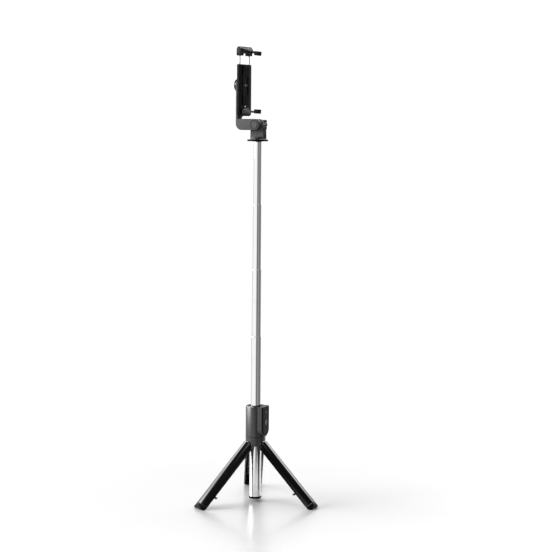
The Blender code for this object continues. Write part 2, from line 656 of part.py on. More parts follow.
def neck(tilt):
    """The bent arm from the tilt bolt to the swivel, with the swivel's bolt, washer and knob."""
    far = ARM_NEAR + ARM_THICKNESS
    back, front = -ARM_REACH, -ARM_REACH + UPRIGHT_THICKNESS
    foot = ARM_HALF + 3 * MM
    side = [(front, ARM_HALF), (front, foot), (back, foot)]
    side += arc((back + ARM_ELBOW, -ARM_HALF + ARM_ELBOW), ARM_ELBOW, 180 * DEGREE, 270 * DEGREE)
    side += arc((0, 0), ARM_HALF, -90 * DEGREE, 90 * DEGREE)
    arm = slab("neck_arm", side, ARM_NEAR, far, "y", GREY_PLASTIC, tilt, edge=0.5 * MM)
    wide = -ARM_NEAR
    upright = [(far, 2 * MM), (far, ARM_HALF - 3 * MM), (wide, ARM_HALF + 12 * MM)]
    upright += arc((0, SWIVEL_RISE), wide, 0, 180 * DEGREE) + [(ARM_NEAR, 2 * MM)]
    join(arm, slab("upright", upright, back, front, "x", None, tilt, edge=0.5 * MM))
    swivel = empty("swivel_joint", tilt, (0, 0, SWIVEL_RISE))
    cut(
        arm,
        rod("arm_hole", BOLT_RADIUS + SHAFT_GAP, 2 * ARM_NEAR, 0, None, tilt, along="y", steps=24),
        rod(
            "arm_recess", BOLT_HEAD_RADIUS + GAP / 2, 2 * ARM_NEAR, ARM_NEAR + BOLT_HEAD_SINK + GAP, None, tilt,
            along="y", steps=40,
        ),
        rod("swivel_hole", SHANK_RADIUS + SHAFT_GAP, 2 * back, 0, None, swivel, along="x", steps=24),
    )
    washer_low = front + GAP
    ring(
        "swivel_washer", WASHER_RADIUS, SHANK_RADIUS + SHAFT_GAP, washer_low,
        washer_low + WASHER_THICKNESS, STEEL, swivel, along="x", steps=32,
    )
    head_low = CLAMP_FACE - SWIVEL_HEAD_SINK
    head_high = head_low + SWIVEL_HEAD_THICKNESS
    knob_front = back - GAP
    knob_back = knob_front - KNOB_THICKNESS
    shank_end = knob_front - SHANK_GRIP
    bolt = turned(
        "swivel_bolt",
        [(0, head_high), (SWIVEL_HEAD_RADIUS, head_high), (SWIVEL_HEAD_RADIUS, head_low),
         (SHANK_RADIUS, head_low), (SHANK_RADIUS, shank_end), (0, shank_end)],
        STEEL, swivel, closed=False, steps=32, along="x",
    )
    slot = 0.6 * MM
    for name, (wide_half, tall_half) in {"flat": (2.4 * MM, slot), "upright": (slot, 2.4 * MM)}.items():
        cross = rectangle((-wide_half, -tall_half), (wide_half, tall_half))
        cut(bolt, slab(f"cross_{name}", cross, head_high - 0.6 * MM, 0, "x", None, swivel))
    knob = turned(
        "swivel_knob",
        [(0, knob_front), (KNOB_RADIUS - 0.8 * MM, knob_front), (KNOB_RADIUS, knob_front - 0.8 * MM),
         (KNOB_RADIUS, knob_back + 1.6 * MM), (KNOB_RADIUS - 1.6 * MM, knob_back), (0, knob_back)],
        GLOSS_BLACK, swivel, closed=False, steps=40, along="x",
    )
    thread = rod(
        "swivel_thread", SHANK_RADIUS + SHAFT_GAP, shank_end - GAP, 0, None, swivel, along="x", steps=24
    )
    cut(knob, thread)
    return swivel


# --- phone clamp ---------------------------------------------------------------------------------


def clamp(swivel):
    """The clamp's two shells, its grip panel, lower jaw and screws."""
    split = CLAMP_BACK + CLAMP_BACK_SHARE
    body = rounded([
        (-CLAMP_HALF, -CLAMP_BELOW, CLAMP_CORNER), (CLAMP_HALF, -CLAMP_BELOW, CLAMP_CORNER),
        (CLAMP_HALF, CLAMP_ABOVE, 0.6 * MM), (-CLAMP_HALF, CLAMP_ABOVE, 0.6 * MM),
    ])
    inner = CLAMP_HALF - CLAMP_WALL
    room = rectangle((-inner, -CLAMP_BELOW + 2 * CLAMP_WALL), (inner, CLAMP_ABOVE - 2 * CLAMP_WALL), 2 * MM)
    back = slab("clamp_back", body, CLAMP_BACK, split, "x", SATIN_BLACK, swivel)
    cut(back, slab("back_hollow", room, CLAMP_BACK + CLAMP_WALL, 0, "x", None, swivel))
    shoulder_top = CLAMP_FACE - SWIVEL_HEAD_SINK - GAP
    join(back, rod("shoulder", SHOULDER, CLAMP_BACK + CLAMP_WALL / 2, shoulder_top, None, swivel, along="x"))
    hole = SHANK_RADIUS + SHAFT_GAP
    cut(back, rod("back_hole", hole, 2 * CLAMP_BACK, 0, None, swivel, along="x", steps=24))
    front = slab("clamp_front", body, split + GAP, CLAMP_FACE, "x", SATIN_BLACK, swivel)
    cut(
        front,
        slab("front_hollow", room, 2 * CLAMP_BACK, CLAMP_FACE - CLAMP_WALL, "x", None, swivel),
        rod("front_hole", SWIVEL_HEAD_RADIUS + GAP, CLAMP_BACK, 0, None, swivel, along="x", steps=32),
    )
    for side in (-1, 1):
        bore = rod(
            f"rod_bore_{'near' if side < 0 else 'far'}", ROD_RADIUS + GAP / 2, 0, 2 * CLAMP_ABOVE,
            None, swivel, steps=24, at=(rod_depth(), side * ROD_OFFSET, 0),
        )
        cut(back, bore)
        cut(front, bore)
    panel_low = CLAMP_FACE + GAP
    panel = slab(
        "grip_panel",
        rectangle((-PANEL_HALF, -PANEL_BELOW), (PANEL_HALF, CLAMP_ABOVE - 2 * MM), 2 * MM),
        panel_low, panel_low + PANEL_THICKNESS, "x", RUBBER, swivel,
    )
    window_half = PANEL_HALF - PANEL_RIM
    window = rectangle((-window_half, -WINDOW_BELOW), (window_half, WINDOW_ABOVE), 1 * MM)
    cut(panel, slab("panel_window", window, 2 * CLAMP_BACK, 0, "x", None, swivel))
    turned(
        "clamp_rivet",
        [(0, RIVET_HEIGHT), (RIVET_RADIUS / 2, 0.85 * RIVET_HEIGHT),
         (0.87 * RIVET_RADIUS, RIVET_HEIGHT / 2), (RIVET_RADIUS, 0), (0, 0)],
        CHROME, swivel, closed=False, steps=24, along="x", at=(CLAMP_FACE + GAP, RIVET_OFFSET, -RIVET_DROP),
    )
    for name, height in {"upper": CLAMP_ABOVE - 6 * MM, "lower": -CLAMP_BELOW + 7 * MM}.items():
        turned(
            f"clamp_screw_{name}",
            [(0, -GAP), (SCREW_RADIUS, -GAP), (SCREW_RADIUS, -0.7 * SCREW_HEIGHT),
             (0.7 * SCREW_RADIUS, -SCREW_HEIGHT), (0, -SCREW_HEIGHT)],
            STEEL, swivel, closed=False, steps=24, along="x", at=(CLAMP_BACK, 0, height),
        )
    jaw_low = -CLAMP_BELOW + JAW_BAR_RISE
    wide = LOWER_JAW_HALF
    jaw = slab(
        "lower_jaw",
        rounded([(-wide, jaw_low - 2 * MM, 1 * MM), (wide, jaw_low - 2 * MM, 1 * MM),
                 (wide, jaw_low + JAW_BAR, 1 * MM), (wide / 2, jaw_low + 2 * JAW_BAR, 1 * MM),
                 (-wide / 2, jaw_low + 2 * JAW_BAR, 1 * MM), (-wide, jaw_low + JAW_BAR, 1 * MM)]),
        CLAMP_FACE + GAP, CLAMP_FACE + 2 * MM, "x", GREY_PLASTIC, swivel,
    )
    root = empty("lower_finger_root", swivel, (CLAMP_FACE, 0, jaw_low), (0, LOWER_DROOP, 0))
    join(jaw, finger("lower_finger", 1 * MM, root))
    jaw_pad("lower_jaw_pad", -PAD_SKIN, root)


def rod_depth():
    return CLAMP_BACK + CLAMP_THICKNESS / 2


def finger(name, start, root):
    """A tapering bar from its root on the clamp's face to the neck that its pad is pushed on."""
    end = JAW_FINGER
    tip = end + JAW_NECK + PAD_DEPTH - PAD_END
    outline = [
        (start, -FINGER_ROOT), (end, -FINGER_TIP), (end, -FINGER_NECK), (tip, -FINGER_NECK),
        (tip, FINGER_NECK), (end, FINGER_NECK), (end, FINGER_TIP), (start, FINGER_ROOT),
    ]
    return slab(name, outline, 0, JAW_BAR, "z", None, root)


def jaw_pad(name, low, root):
    """A rubber pad with a blind socket for the finger's neck."""
    start = JAW_FINGER + JAW_NECK
    outline = rectangle((start, -PAD_HALF), (start + PAD_DEPTH, PAD_HALF), 0.8 * MM)
    pad = slab(name, outline, low, low + PAD_HEIGHT, "z", RUBBER, root, edge=0.5 * MM)
    neck_half = FINGER_NECK + GAP
    hollow = rectangle((start - PAD_END, -neck_half), (start + PAD_DEPTH - PAD_END + GAP, neck_half))
    return cut(pad, slab(f"{name}_socket", hollow, -GAP, JAW_BAR + GAP, "z", None, root))


def upper_jaw(swivel):
    """The sliding jaw: its cap and finger on two rods, with the bridge that ties the rods."""
    frame = empty("jaw_slide", swivel)
    low = CLAMP_ABOVE + JAW_OPENING
    high = low + JAW_HEIGHT
    back, front = CLAMP_BACK - 0.5 * MM, CLAMP_FACE + 0.5 * MM
    side = rounded([
        (back, low, 0.5 * MM), (front, low, 0.5 * MM), (front + 2 * MM, high - JAW_HEIGHT / 2, 0),
        (front + 2 * MM, high - JAW_HEIGHT / 3, 0), (front - 2 * MM, high - 0.8 * MM, 0), (back, high, 4 * MM),
    ])
    cap = slab("upper_jaw", side, -CLAMP_HALF, CLAMP_HALF, "y", GREY_PLASTIC, frame, edge=0.5 * MM)
    notch = rectangle((-JAW_NOTCH_HALF, low - 5 * MM), (JAW_NOTCH_HALF, low + JAW_NOTCH_HEIGHT), 1 * MM)
    cut(cap, slab("jaw_notch", notch, 2 * CLAMP_BACK, 0, "x", None, frame))
    bar_low = high - JAW_BAR_DROP
    root = empty("upper_finger_root", frame, (CLAMP_FACE, 0, bar_low), (0, UPPER_DROOP, 0))
    join(cap, finger("upper_finger", -1.5 * MM, root))
    jaw_pad("upper_jaw_pad", JAW_BAR + PAD_SKIN - PAD_HEIGHT, root)
    rod_top = low + ROD_GRIP
    rod_low = CLAMP_ABOVE - ROD_TRAVEL
    for name, offset in {"near": -ROD_OFFSET, "far": ROD_OFFSET}.items():
        place = (rod_depth(), offset, 0)
        rod(f"jaw_rod_{name}", ROD_RADIUS, rod_low, rod_top, CHROME, frame, steps=24, at=place)
        socket = rod(
            f"rod_socket_{name}", ROD_RADIUS + GAP / 2, low - MM, rod_top + GAP, None, frame,
            steps=24, at=place,
        )
        cut(cap, socket)
    bridge_half = ROD_OFFSET - ROD_RADIUS - GAP
    slab(
        "rod_bridge", rectangle((-bridge_half, rod_low), (bridge_half, rod_low + 3 * ROD_RADIUS), 0.5 * MM),
        rod_depth() - ROD_RADIUS, rod_depth() + ROD_RADIUS, "x", STEEL, frame,
    )


def centre_on_ground(stick):
    """Moves the whole stick so that the origin is under the middle of its bounding box."""
    graph = bpy.context.evaluated_depsgraph_get()
    points = []
    for made in PARTS.objects:
        if made.type == "MESH":
            shown = made.evaluated_get(graph)
            points += [shown.matrix_world @ vertex.co for vertex in shown.data.vertices]
    for i in (0, 1):
        side = [point[i] for point in points]
        stick.location[i] -= (min(side) + max(side)) / 2


def build():
    stick = empty("stick")
    floor_half = 2 * LEG_LENGTH
    floor = rectangle((-floor_half, -floor_half), (floor_half, floor_half))
    ground = slab("ground", floor, -LEG_LENGTH, 0, "z", None, stick)
    top_slide = telescope(stick)
    dock = hub(stick)
    for side, azimuth in LEG_AZIMUTHS.items():
        leg(stick, side, azimuth, ground)
    remote(dock)
    swivel = neck(head(top_slide))
    clamp(swivel)
    upper_jaw(swivel)
    centre_on_ground(stick)


build()
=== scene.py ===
"""Looks, light and camera for the tripod selfie stick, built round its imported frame."""

import json
import math

import bmesh
import bpy
from mathutils import Matrix, Vector
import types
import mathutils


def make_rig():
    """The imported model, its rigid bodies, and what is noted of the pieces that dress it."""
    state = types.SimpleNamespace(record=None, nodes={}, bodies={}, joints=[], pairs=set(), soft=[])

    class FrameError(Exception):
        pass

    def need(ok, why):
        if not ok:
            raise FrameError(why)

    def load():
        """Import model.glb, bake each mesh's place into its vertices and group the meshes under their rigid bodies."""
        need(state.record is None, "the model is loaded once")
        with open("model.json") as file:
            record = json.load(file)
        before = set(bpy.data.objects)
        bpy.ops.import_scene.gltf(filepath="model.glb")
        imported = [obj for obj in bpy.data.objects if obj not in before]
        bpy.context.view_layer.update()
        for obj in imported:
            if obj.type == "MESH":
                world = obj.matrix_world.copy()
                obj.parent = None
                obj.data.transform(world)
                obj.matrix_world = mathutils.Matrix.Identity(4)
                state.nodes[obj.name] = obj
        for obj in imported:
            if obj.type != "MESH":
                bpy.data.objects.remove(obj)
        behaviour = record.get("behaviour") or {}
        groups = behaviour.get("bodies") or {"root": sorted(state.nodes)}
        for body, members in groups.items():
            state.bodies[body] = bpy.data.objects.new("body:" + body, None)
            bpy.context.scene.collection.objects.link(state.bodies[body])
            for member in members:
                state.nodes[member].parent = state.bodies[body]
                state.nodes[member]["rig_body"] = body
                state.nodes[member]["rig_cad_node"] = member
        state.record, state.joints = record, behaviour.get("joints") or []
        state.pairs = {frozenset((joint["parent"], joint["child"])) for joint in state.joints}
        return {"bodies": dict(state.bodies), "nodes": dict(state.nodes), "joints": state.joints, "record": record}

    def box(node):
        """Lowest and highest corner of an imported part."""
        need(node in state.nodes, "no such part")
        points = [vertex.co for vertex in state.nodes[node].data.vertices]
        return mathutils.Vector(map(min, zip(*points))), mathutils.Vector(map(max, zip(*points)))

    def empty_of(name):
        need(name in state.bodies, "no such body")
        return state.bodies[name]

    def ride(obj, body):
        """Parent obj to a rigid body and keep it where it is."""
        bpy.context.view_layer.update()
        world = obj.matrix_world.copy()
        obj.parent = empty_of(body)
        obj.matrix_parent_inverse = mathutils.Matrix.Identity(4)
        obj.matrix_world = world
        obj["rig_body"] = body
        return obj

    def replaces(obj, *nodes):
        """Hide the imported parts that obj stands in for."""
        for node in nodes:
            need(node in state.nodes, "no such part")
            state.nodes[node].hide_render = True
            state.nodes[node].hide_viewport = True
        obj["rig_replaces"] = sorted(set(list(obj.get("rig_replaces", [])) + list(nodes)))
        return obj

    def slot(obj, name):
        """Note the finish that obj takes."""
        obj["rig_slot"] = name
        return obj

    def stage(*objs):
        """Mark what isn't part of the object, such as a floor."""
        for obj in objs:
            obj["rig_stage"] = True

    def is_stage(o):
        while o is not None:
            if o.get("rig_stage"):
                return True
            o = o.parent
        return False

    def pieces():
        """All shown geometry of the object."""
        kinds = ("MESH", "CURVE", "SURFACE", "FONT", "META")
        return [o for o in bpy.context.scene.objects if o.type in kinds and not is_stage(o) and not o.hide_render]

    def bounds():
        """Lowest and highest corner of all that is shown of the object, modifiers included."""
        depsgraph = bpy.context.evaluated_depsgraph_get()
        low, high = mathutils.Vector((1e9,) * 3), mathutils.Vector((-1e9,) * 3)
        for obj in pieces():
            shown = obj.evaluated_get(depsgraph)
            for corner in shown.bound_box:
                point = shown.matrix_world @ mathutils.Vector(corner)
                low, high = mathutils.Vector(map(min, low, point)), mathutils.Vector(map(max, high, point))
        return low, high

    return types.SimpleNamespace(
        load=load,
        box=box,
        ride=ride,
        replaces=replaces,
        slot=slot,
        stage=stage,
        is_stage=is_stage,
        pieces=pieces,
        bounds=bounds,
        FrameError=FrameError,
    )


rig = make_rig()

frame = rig.load()
cad_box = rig.bounds()

MM = 0.001
HAIR = 0.000002  # points nearer than this are one point


# --- where things are ------------------------------------------------------------------------------


def middle(node):
    """The centre of a node's box."""
    low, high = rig.box(node)
    return (low + high) / 2


def turn(degrees, axis):
    return Matrix.Rotation(math.radians(degrees), 4, axis)


def shift(x=0.0, y=0.0, z=0.0):
    return Matrix.Translation((x, y, z))


AXIS = middle("tube_2")
STICK = shift(AXIS.x, AXIS.y)
LEG_TURNS = {"right": -30, "rear": 90, "left": 210}
LEG_SPLAY = 44.5
PIVOT_RADIUS = 11.5 * MM
HUB_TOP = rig.box("hub_sleeve")[1].z
HUB_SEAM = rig.box("leg_carrier")[1].z
TUBE_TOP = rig.box("head_flange")[0].z
TILT = middle("tilt_bolt").z
SWIVEL = middle("swivel_knob").z
DOCK = STICK @ turn(-30, "Z")
HEAD = STICK @ shift(z=TUBE_TOP) @ turn(-35, "Z")
TILT_AXIS = STICK @ shift(z=TILT) @ turn(-35, "Z")
SWIVEL_AXIS = STICK @ shift(z=SWIVEL) @ turn(-35, "Z")

FACE_X = Matrix(((0, 0, 1, 0), (1, 0, 0, 0), (0, 1, 0, 0), (0, 0, 0, 1)))  # thickness along X, drawn on Y and Z
FACE_Y = Matrix(((1, 0, 0, 0), (0, 0, -1, 0), (0, 1, 0, 0), (0, 0, 0, 1)))  # thickness along -Y, drawn on X and Z
ALONG_X = turn(90, "Y")  # a turned shape laid along X
ALONG_Y = turn(-90, "X")


# --- node maths for finishes and light -------------------------------------------------------------


class Reading:
    """A socket whose value can be used in sums."""

    def __init__(self, recipe, socket):
        self.recipe = recipe
        self.socket = socket

    def maths(self, operation, *values):
        return self.recipe.node("ShaderNodeMath", {"operation": operation}, dict(enumerate(values)))

    def __add__(self, other):
        return self.maths("ADD", self, other)

    def __radd__(self, other):
        return self.maths("ADD", other, self)

    def __sub__(self, other):
        return self.maths("SUBTRACT", self, other)

    def __rsub__(self, other):
        return self.maths("SUBTRACT", other, self)

    def __mul__(self, other):
        return self.maths("MULTIPLY", self, other)

    def __rmul__(self, other):
        return self.maths("MULTIPLY", other, self)

    def __gt__(self, other):
        return self.maths("GREATER_THAN", self, other)

    def ramp(self, low, high, start=0.0, end=1.0):
        """Goes smoothly from start to end as this goes from low to high."""
        settings = {"interpolation_type": "SMOOTHSTEP"}
        return self.recipe.node("ShaderNodeMapRange", settings, {0: self, 1: low, 2: high, 3: start, 4: end})


class Recipe:
    """Nodes written down as sums; every pattern is in the object's own coordinates."""

    def __init__(self, tree):
        self.tree = tree

    def node(self, kind, settings=None, inputs=None, output=0):
        made = self.tree.nodes.new(kind)
        for key, value in (settings or {}).items():
            setattr(made, key, value)
        for key, value in (inputs or {}).items():
            self.feed(made.inputs[key], value)
        return Reading(self, made.outputs[output])

    def feed(self, socket, value):
        if isinstance(value, Reading):
            self.tree.links.new(value.socket, socket)
        else:
            socket.default_value = value

    def place(self, scale=(1, 1, 1), rotation=(0, 0, 0)):
        spot = self.node("ShaderNodeTexCoord", output="Object")
        return self.node("ShaderNodeMapping", None, {"Vector": spot, "Scale": scale, "Rotation": rotation})

    def noise(self, size, detail=3.0, stretch=(1, 1, 1), roughness=0.55):
        """Soft random spots of about that size in metres."""
        inputs = {"Vector": self.place(stretch), "Scale": 1 / size, "Detail": detail, "Roughness": roughness}
        return self.node("ShaderNodeTexNoise", None, inputs)

    def cells(self, size, stretch=(1, 1, 1)):
        return self.node("ShaderNodeTexVoronoi", None, {"Vector": self.place(stretch), "Scale": 1 / size})

    def mix(self, factor, first, second):
        """One colour or the other, by the factor."""
        settings = {"data_type": "RGBA"}
        return self.node("ShaderNodeMix", settings, {0: factor, 6: (*first, 1), 7: (*second, 1)}, 2)

    def bump(self, height, depth, strength=1.0):
        return self.node("ShaderNodeBump", None, {"Strength": strength, "Distance": depth, "Height": height})


class Finish(Recipe):
    """A material: constants go straight on the shader's sockets, what varies is fed to them."""

    def __init__(self, name, constants):
        self.material = bpy.data.materials.new(name)
        self.material.use_nodes = True
        super().__init__(self.material.node_tree)
        self.shader = self.tree.nodes["Principled BSDF"]
        for socket, value in constants.items():
            self.shader.inputs[socket].default_value = value

    def varies(self, values):
        for socket, value in values.items():
            self.feed(self.shader.inputs[socket], value)
        return self.material


# --- finishes --------------------------------------------------------------------------------------


def chrome_plate():
    """Bright plating with lengthwise polishing lines and faint handling marks."""
    finish = Finish("chrome_plate", {"Metallic": 1.0})
    lines = finish.noise(0.25 * MM, 2, (1, 1, 0.02))
    marks = finish.noise(14 * MM, 4).ramp(0.5, 0.72)
    pits = finish.cells(1.1 * MM).ramp(0.05, 0.0)
    return finish.varies({
        "Base Color": finish.mix(marks, (0.88, 0.885, 0.9), (0.82, 0.825, 0.835)),
        "Roughness": 0.035 + 0.035 * lines + 0.06 * marks + 0.05 * pits,
        "Normal": finish.bump(lines, 0.0004 * MM, 0.35),
    })


def bright_steel(name="bright_steel", dark=(0.52, 0.52, 0.53), light=(0.68, 0.68, 0.69)):
    """Zinc-plated steel with turning lines."""
    finish = Finish(name, {"Metallic": 1.0})
    lines = finish.noise(0.18 * MM, 3, (1, 1, 0.3))
    stain = finish.noise(3 * MM, 4)
    return finish.varies({
        "Base Color": finish.mix(stain, dark, light),
        "Roughness": 0.2 + 0.22 * lines,
        "Normal": finish.bump(lines, 0.004 * MM, 0.4),
    })


def gloss_moulding(name="gloss_moulding", dark=(0.002, 0.002, 0.0022), light=(0.006, 0.0058, 0.0055), wear=0.0):
    """Polished black plastic: a slow ripple in the surface, fine dust and hair scratches."""
    finish = Finish(name, {"Specular IOR Level": 0.5, "Coat Roughness": 0.04})
    ripple = finish.noise(5 * MM, 2)
    dust = finish.cells(0.9 * MM).ramp(0.09, 0.02)
    scratches = finish.noise(0.16 * MM, 2, (1, 0.9, 0.035)).ramp(0.62, 0.78)
    smear = finish.noise(18 * MM, 4).ramp(0.48, 0.7)
    return finish.varies({
        "Base Color": finish.mix(0.5 * ripple + 0.35 * dust, dark, light),
        "Roughness": 0.075 + wear + 0.06 * smear + 0.1 * scratches + 0.2 * dust,
        "Coat Weight": 0.25 - 0.15 * smear,
        "Normal": finish.bump(ripple + 0.04 * scratches, 0.02 * MM, 0.25),
    })


def satin_moulding(name, dark, light, roughness, grain=0.32, shine=0.5):
    """Moulded plastic with a fine spark-eroded grain, slightly polished where hands rub it."""
    finish = Finish(name, {"Specular IOR Level": shine})
    pebble = finish.noise(grain * MM, 3)
    cells = finish.cells(1.3 * grain * MM)
    rubbed = finish.noise(16 * MM, 4).ramp(0.5, 0.75)
    specks = finish.cells(1.7 * MM).ramp(0.06, 0.0)
    height = 0.6 * pebble + 0.4 * cells
    return finish.varies({
        "Base Color": finish.mix(0.7 * pebble + 0.3 * specks, dark, light),
        "Roughness": roughness + 0.12 * pebble - 0.08 * rubbed,
        "Normal": finish.bump(height, 0.008 * MM, 0.2),
    })


def soft_rubber():
    """Matt black rubber with a powdery bloom and a stippled skin."""
    finish = Finish("soft_rubber", {"Specular IOR Level": 0.12})
    stipple = finish.cells(0.42 * MM)
    bloom = finish.noise(6 * MM, 5).ramp(0.42, 0.72)
    return finish.varies({
        "Base Color": finish.mix(bloom, (0.003, 0.003, 0.0032), (0.01, 0.01, 0.0105)),
        "Roughness": 0.6 + 0.16 * bloom + 0.08 * stipple,
        "Normal": finish.bump(stipple, 0.03 * MM, 0.35),
    })


def turned_brass():
    finish = Finish("turned_brass", {"Metallic": 1.0})
    lines = finish.noise(0.2 * MM, 2, (0.08, 0.08, 1))
    tarnish = finish.noise(2.5 * MM, 4).ramp(0.45, 0.75)
    return finish.varies({
        "Base Color": finish.mix(tarnish, (0.74, 0.55, 0.27), (0.5, 0.34, 0.15)),
        "Roughness": 0.25 + 0.15 * lines + 0.15 * tarnish,
        "Normal": finish.bump(lines, 0.004 * MM, 0.5),
    })


def circuit_board():
    """Green mask over copper tracks."""
    finish = Finish("circuit_board", {"Specular IOR Level": 0.5})
    tracks = finish.cells(2.2 * MM, (1, 1, 1)).ramp(0.35, 0.4)
    weave = finish.noise(0.3 * MM, 2)
    return finish.varies({
        "Base Color": finish.mix(tracks, (0.02, 0.12, 0.05), (0.035, 0.2, 0.08)),
        "Roughness": 0.35 + 0.15 * weave,
        "Normal": finish.bump(tracks + 0.1 * weave, 0.02 * MM, 0.5),
    })


CHROME = chrome_plate()
STEEL = bright_steel()
ROD_STEEL = bright_steel("drawn_steel", (0.3, 0.3, 0.305), (0.4, 0.4, 0.405))
GLOSS = gloss_moulding()
SATIN = satin_moulding("satin_moulding", (0.002, 0.002, 0.0021), (0.005, 0.005, 0.0053), 0.28, shine=0.85)
DARK = satin_moulding("dark_moulding", (0.002, 0.002, 0.0021), (0.004, 0.004, 0.0042), 0.3, shine=0.08)
CHARCOAL = satin_moulding("charcoal_moulding", (0.052, 0.052, 0.0534), (0.066, 0.066, 0.0678), 0.46, 0.4, 0.2)
# This pale grey is a lighter copy of the grey plastic: a painted highlight for the window cross and the lower jaw,
# whose faces turn away from the lights
PAINTED_HIGHLIGHT_GREY = satin_moulding("grey_moulding", (0.13, 0.13, 0.133), (0.19, 0.19, 0.194), 0.5, 0.4, 0.3)
RUBBER = soft_rubber()
BRASS = turned_brass()
BOARD = circuit_board()

SLOT_FINISHES = {
    "chrome": CHROME, "steel": STEEL, "gloss_black": GLOSS, "satin_black": SATIN, "grey_plastic": CHARCOAL,
    "rubber": RUBBER, "brass": BRASS, "board": BOARD, "cell": STEEL,
}


# --- shaping tools ---------------------------------------------------------------------------------


def tidy(form):
    """Merges what coincides and turns the faces outwards."""
    bmesh.ops.remove_doubles(form, verts=form.verts, dist=HAIR)
    bmesh.ops.recalc_face_normals(form, faces=form.faces)
    return form


def turned(profile, steps=96, closed=False):
    """A profile of (radius, height) points spun round Z; a closed one comes back to its first point."""
    form = bmesh.new()
    points = [form.verts.new((radius, 0, height)) for radius, height in profile]
    lines = [form.edges.new(pair) for pair in zip(points, points[1:])]
    if closed:
        lines.append(form.edges.new((points[-1], points[0])))
    bmesh.ops.spin(
        form, geom=points + lines, cent=(0, 0, 0), axis=(0, 0, 1), dvec=(0, 0, 0),
        angle=2 * math.pi, steps=steps, use_merge=True,
    )
    return tidy(form)


def ring(outer, inner, low, high, steps=96):
    return turned([(outer, high), (outer, low), (inner, low), (inner, high)], steps, closed=True)


def rod(radius, low, high, steps=48):
    return turned([(0, high), (radius, high), (radius, low), (0, low)], steps)


def plate(corners, low, high, facing=None, segments=10):
    """An outline of (x, y, rounding) corners given thickness from low to high."""
    form = bmesh.new()
    face = form.faces.new([form.verts.new((x, y, low)) for x, y, _ in corners])
    grown = bmesh.ops.extrude_face_region(form, geom=[face])["geom"]
    top = [part for part in grown if isinstance(part, bmesh.types.BMVert)]
    bmesh.ops.translate(form, verts=top, vec=(0, 0, high - low))
    for x, y, rounding in corners:
        if rounding:
            upright = [
                line for line in form.edges
                if all((Vector(end.co[:2]) - Vector((x, y))).length < HAIR for end in line.verts)
            ]
            bevel(form, upright, rounding, segments, clamp=False)
    tidy(form)
    if facing:
        if facing == FACE_Y:
            bmesh.ops.translate(form, verts=form.verts, vec=(0, 0, -low - high))
        bmesh.ops.transform(form, matrix=facing, verts=form.verts)
    return form


def bevel(form, lines, width, segments=3, clamp=True):
    return bmesh.ops.bevel(
        form, geom=lines, offset=width, offset_type="OFFSET", segments=segments, profile=0.5,
        affect="EDGES", clamp_overlap=clamp, material=-1,
    )


def soften(form, width, segments=3, angle=32, where=None):
    """Rounds every edge that is sharper than the angle, or only those that where() picks."""
    sharp = [
        line for line in form.edges
        if line.is_manifold and line.calc_face_angle(0) > math.radians(angle) and (where is None or where(line))
    ]
    bevel(form, sharp, width, segments)
    return tidy(form)


def combined(form, other, operation="DIFFERENCE"):
    """The form cut by the other one, or joined with it."""
    pair = []
    for shape in (form, other):
        mesh = bpy.data.meshes.new("blank")
        shape.to_mesh(mesh)
        shape.free()
        blank = bpy.data.objects.new("blank", mesh)
        bpy.context.scene.collection.objects.link(blank)
        pair.append(blank)
    change = pair[0].modifiers.new("change", "BOOLEAN")
    change.operation = operation
    change.solver = "EXACT"
    change.object = pair[1]
    bpy.context.view_layer.update()
    result = bmesh.new()
    result.from_object(pair[0], bpy.context.evaluated_depsgraph_get())
    for blank in pair:
        bpy.data.objects.remove(blank)
    return tidy(result)


def joined(form, other):
    return combined(form, other, "UNION")


def moved(form, matrix):
    bmesh.ops.transform(form, matrix=matrix, verts=form.verts)
    return form


def cut_flat(form, point, normal):
    """Takes off what is beyond a plane and closes the cut."""
    parts = form.verts[:] + form.edges[:] + form.faces[:]
    cut = bmesh.ops.bisect_plane(form, geom=parts, plane_co=point, plane_no=normal, clear_outer=True)
    rim = [part for part in cut["geom_cut"] if isinstance(part, bmesh.types.BMEdge)]
    bmesh.ops.contextual_create(form, geom=rim)
    return tidy(form)


def copy_of(node):
    """A merged copy of a CAD node's shape, with its flat faces whole."""
    form = bmesh.new()
    form.from_mesh(frame["nodes"][node].data)
    bmesh.ops.remove_doubles(form, verts=form.verts, dist=HAIR)
    bmesh.ops.dissolve_limit(form, angle_limit=math.radians(0.5), verts=form.verts, edges=form.edges)
    return form


def body_of(node):
    return frame["nodes"][node]["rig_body"]


def fitted(form, name, node, finish, slot, place=None, crease=35, replaced=None):
    """Makes the form a piece that rides with a node's body and, unless told otherwise, stands for the node."""
    if place:
        bmesh.ops.transform(form, matrix=place, verts=form.verts)
    mesh = bpy.data.meshes.new(name)
    form.to_mesh(mesh)
    form.free()
    mesh.shade_smooth()
    mesh.set_sharp_from_angle(angle=math.radians(crease))
    mesh.materials.append(finish)
    made = bpy.data.objects.new(name, mesh)
    bpy.context.scene.collection.objects.link(made)
    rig.ride(made, body_of(node))
    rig.slot(made, slot)
    stands_for = [node] if replaced is None else replaced
    if stands_for:
        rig.replaces(made, *stands_for)
    return made


# --- telescopic tube -------------------------------------------------------------------------------

WALL = 0.31 * MM
TUBES = ["base_tube", "tube_2", "tube_3", "tube_4", "top_tube"]


CAP_COLLAR = 1.9 * MM  # how far the bottom cap covers the tube


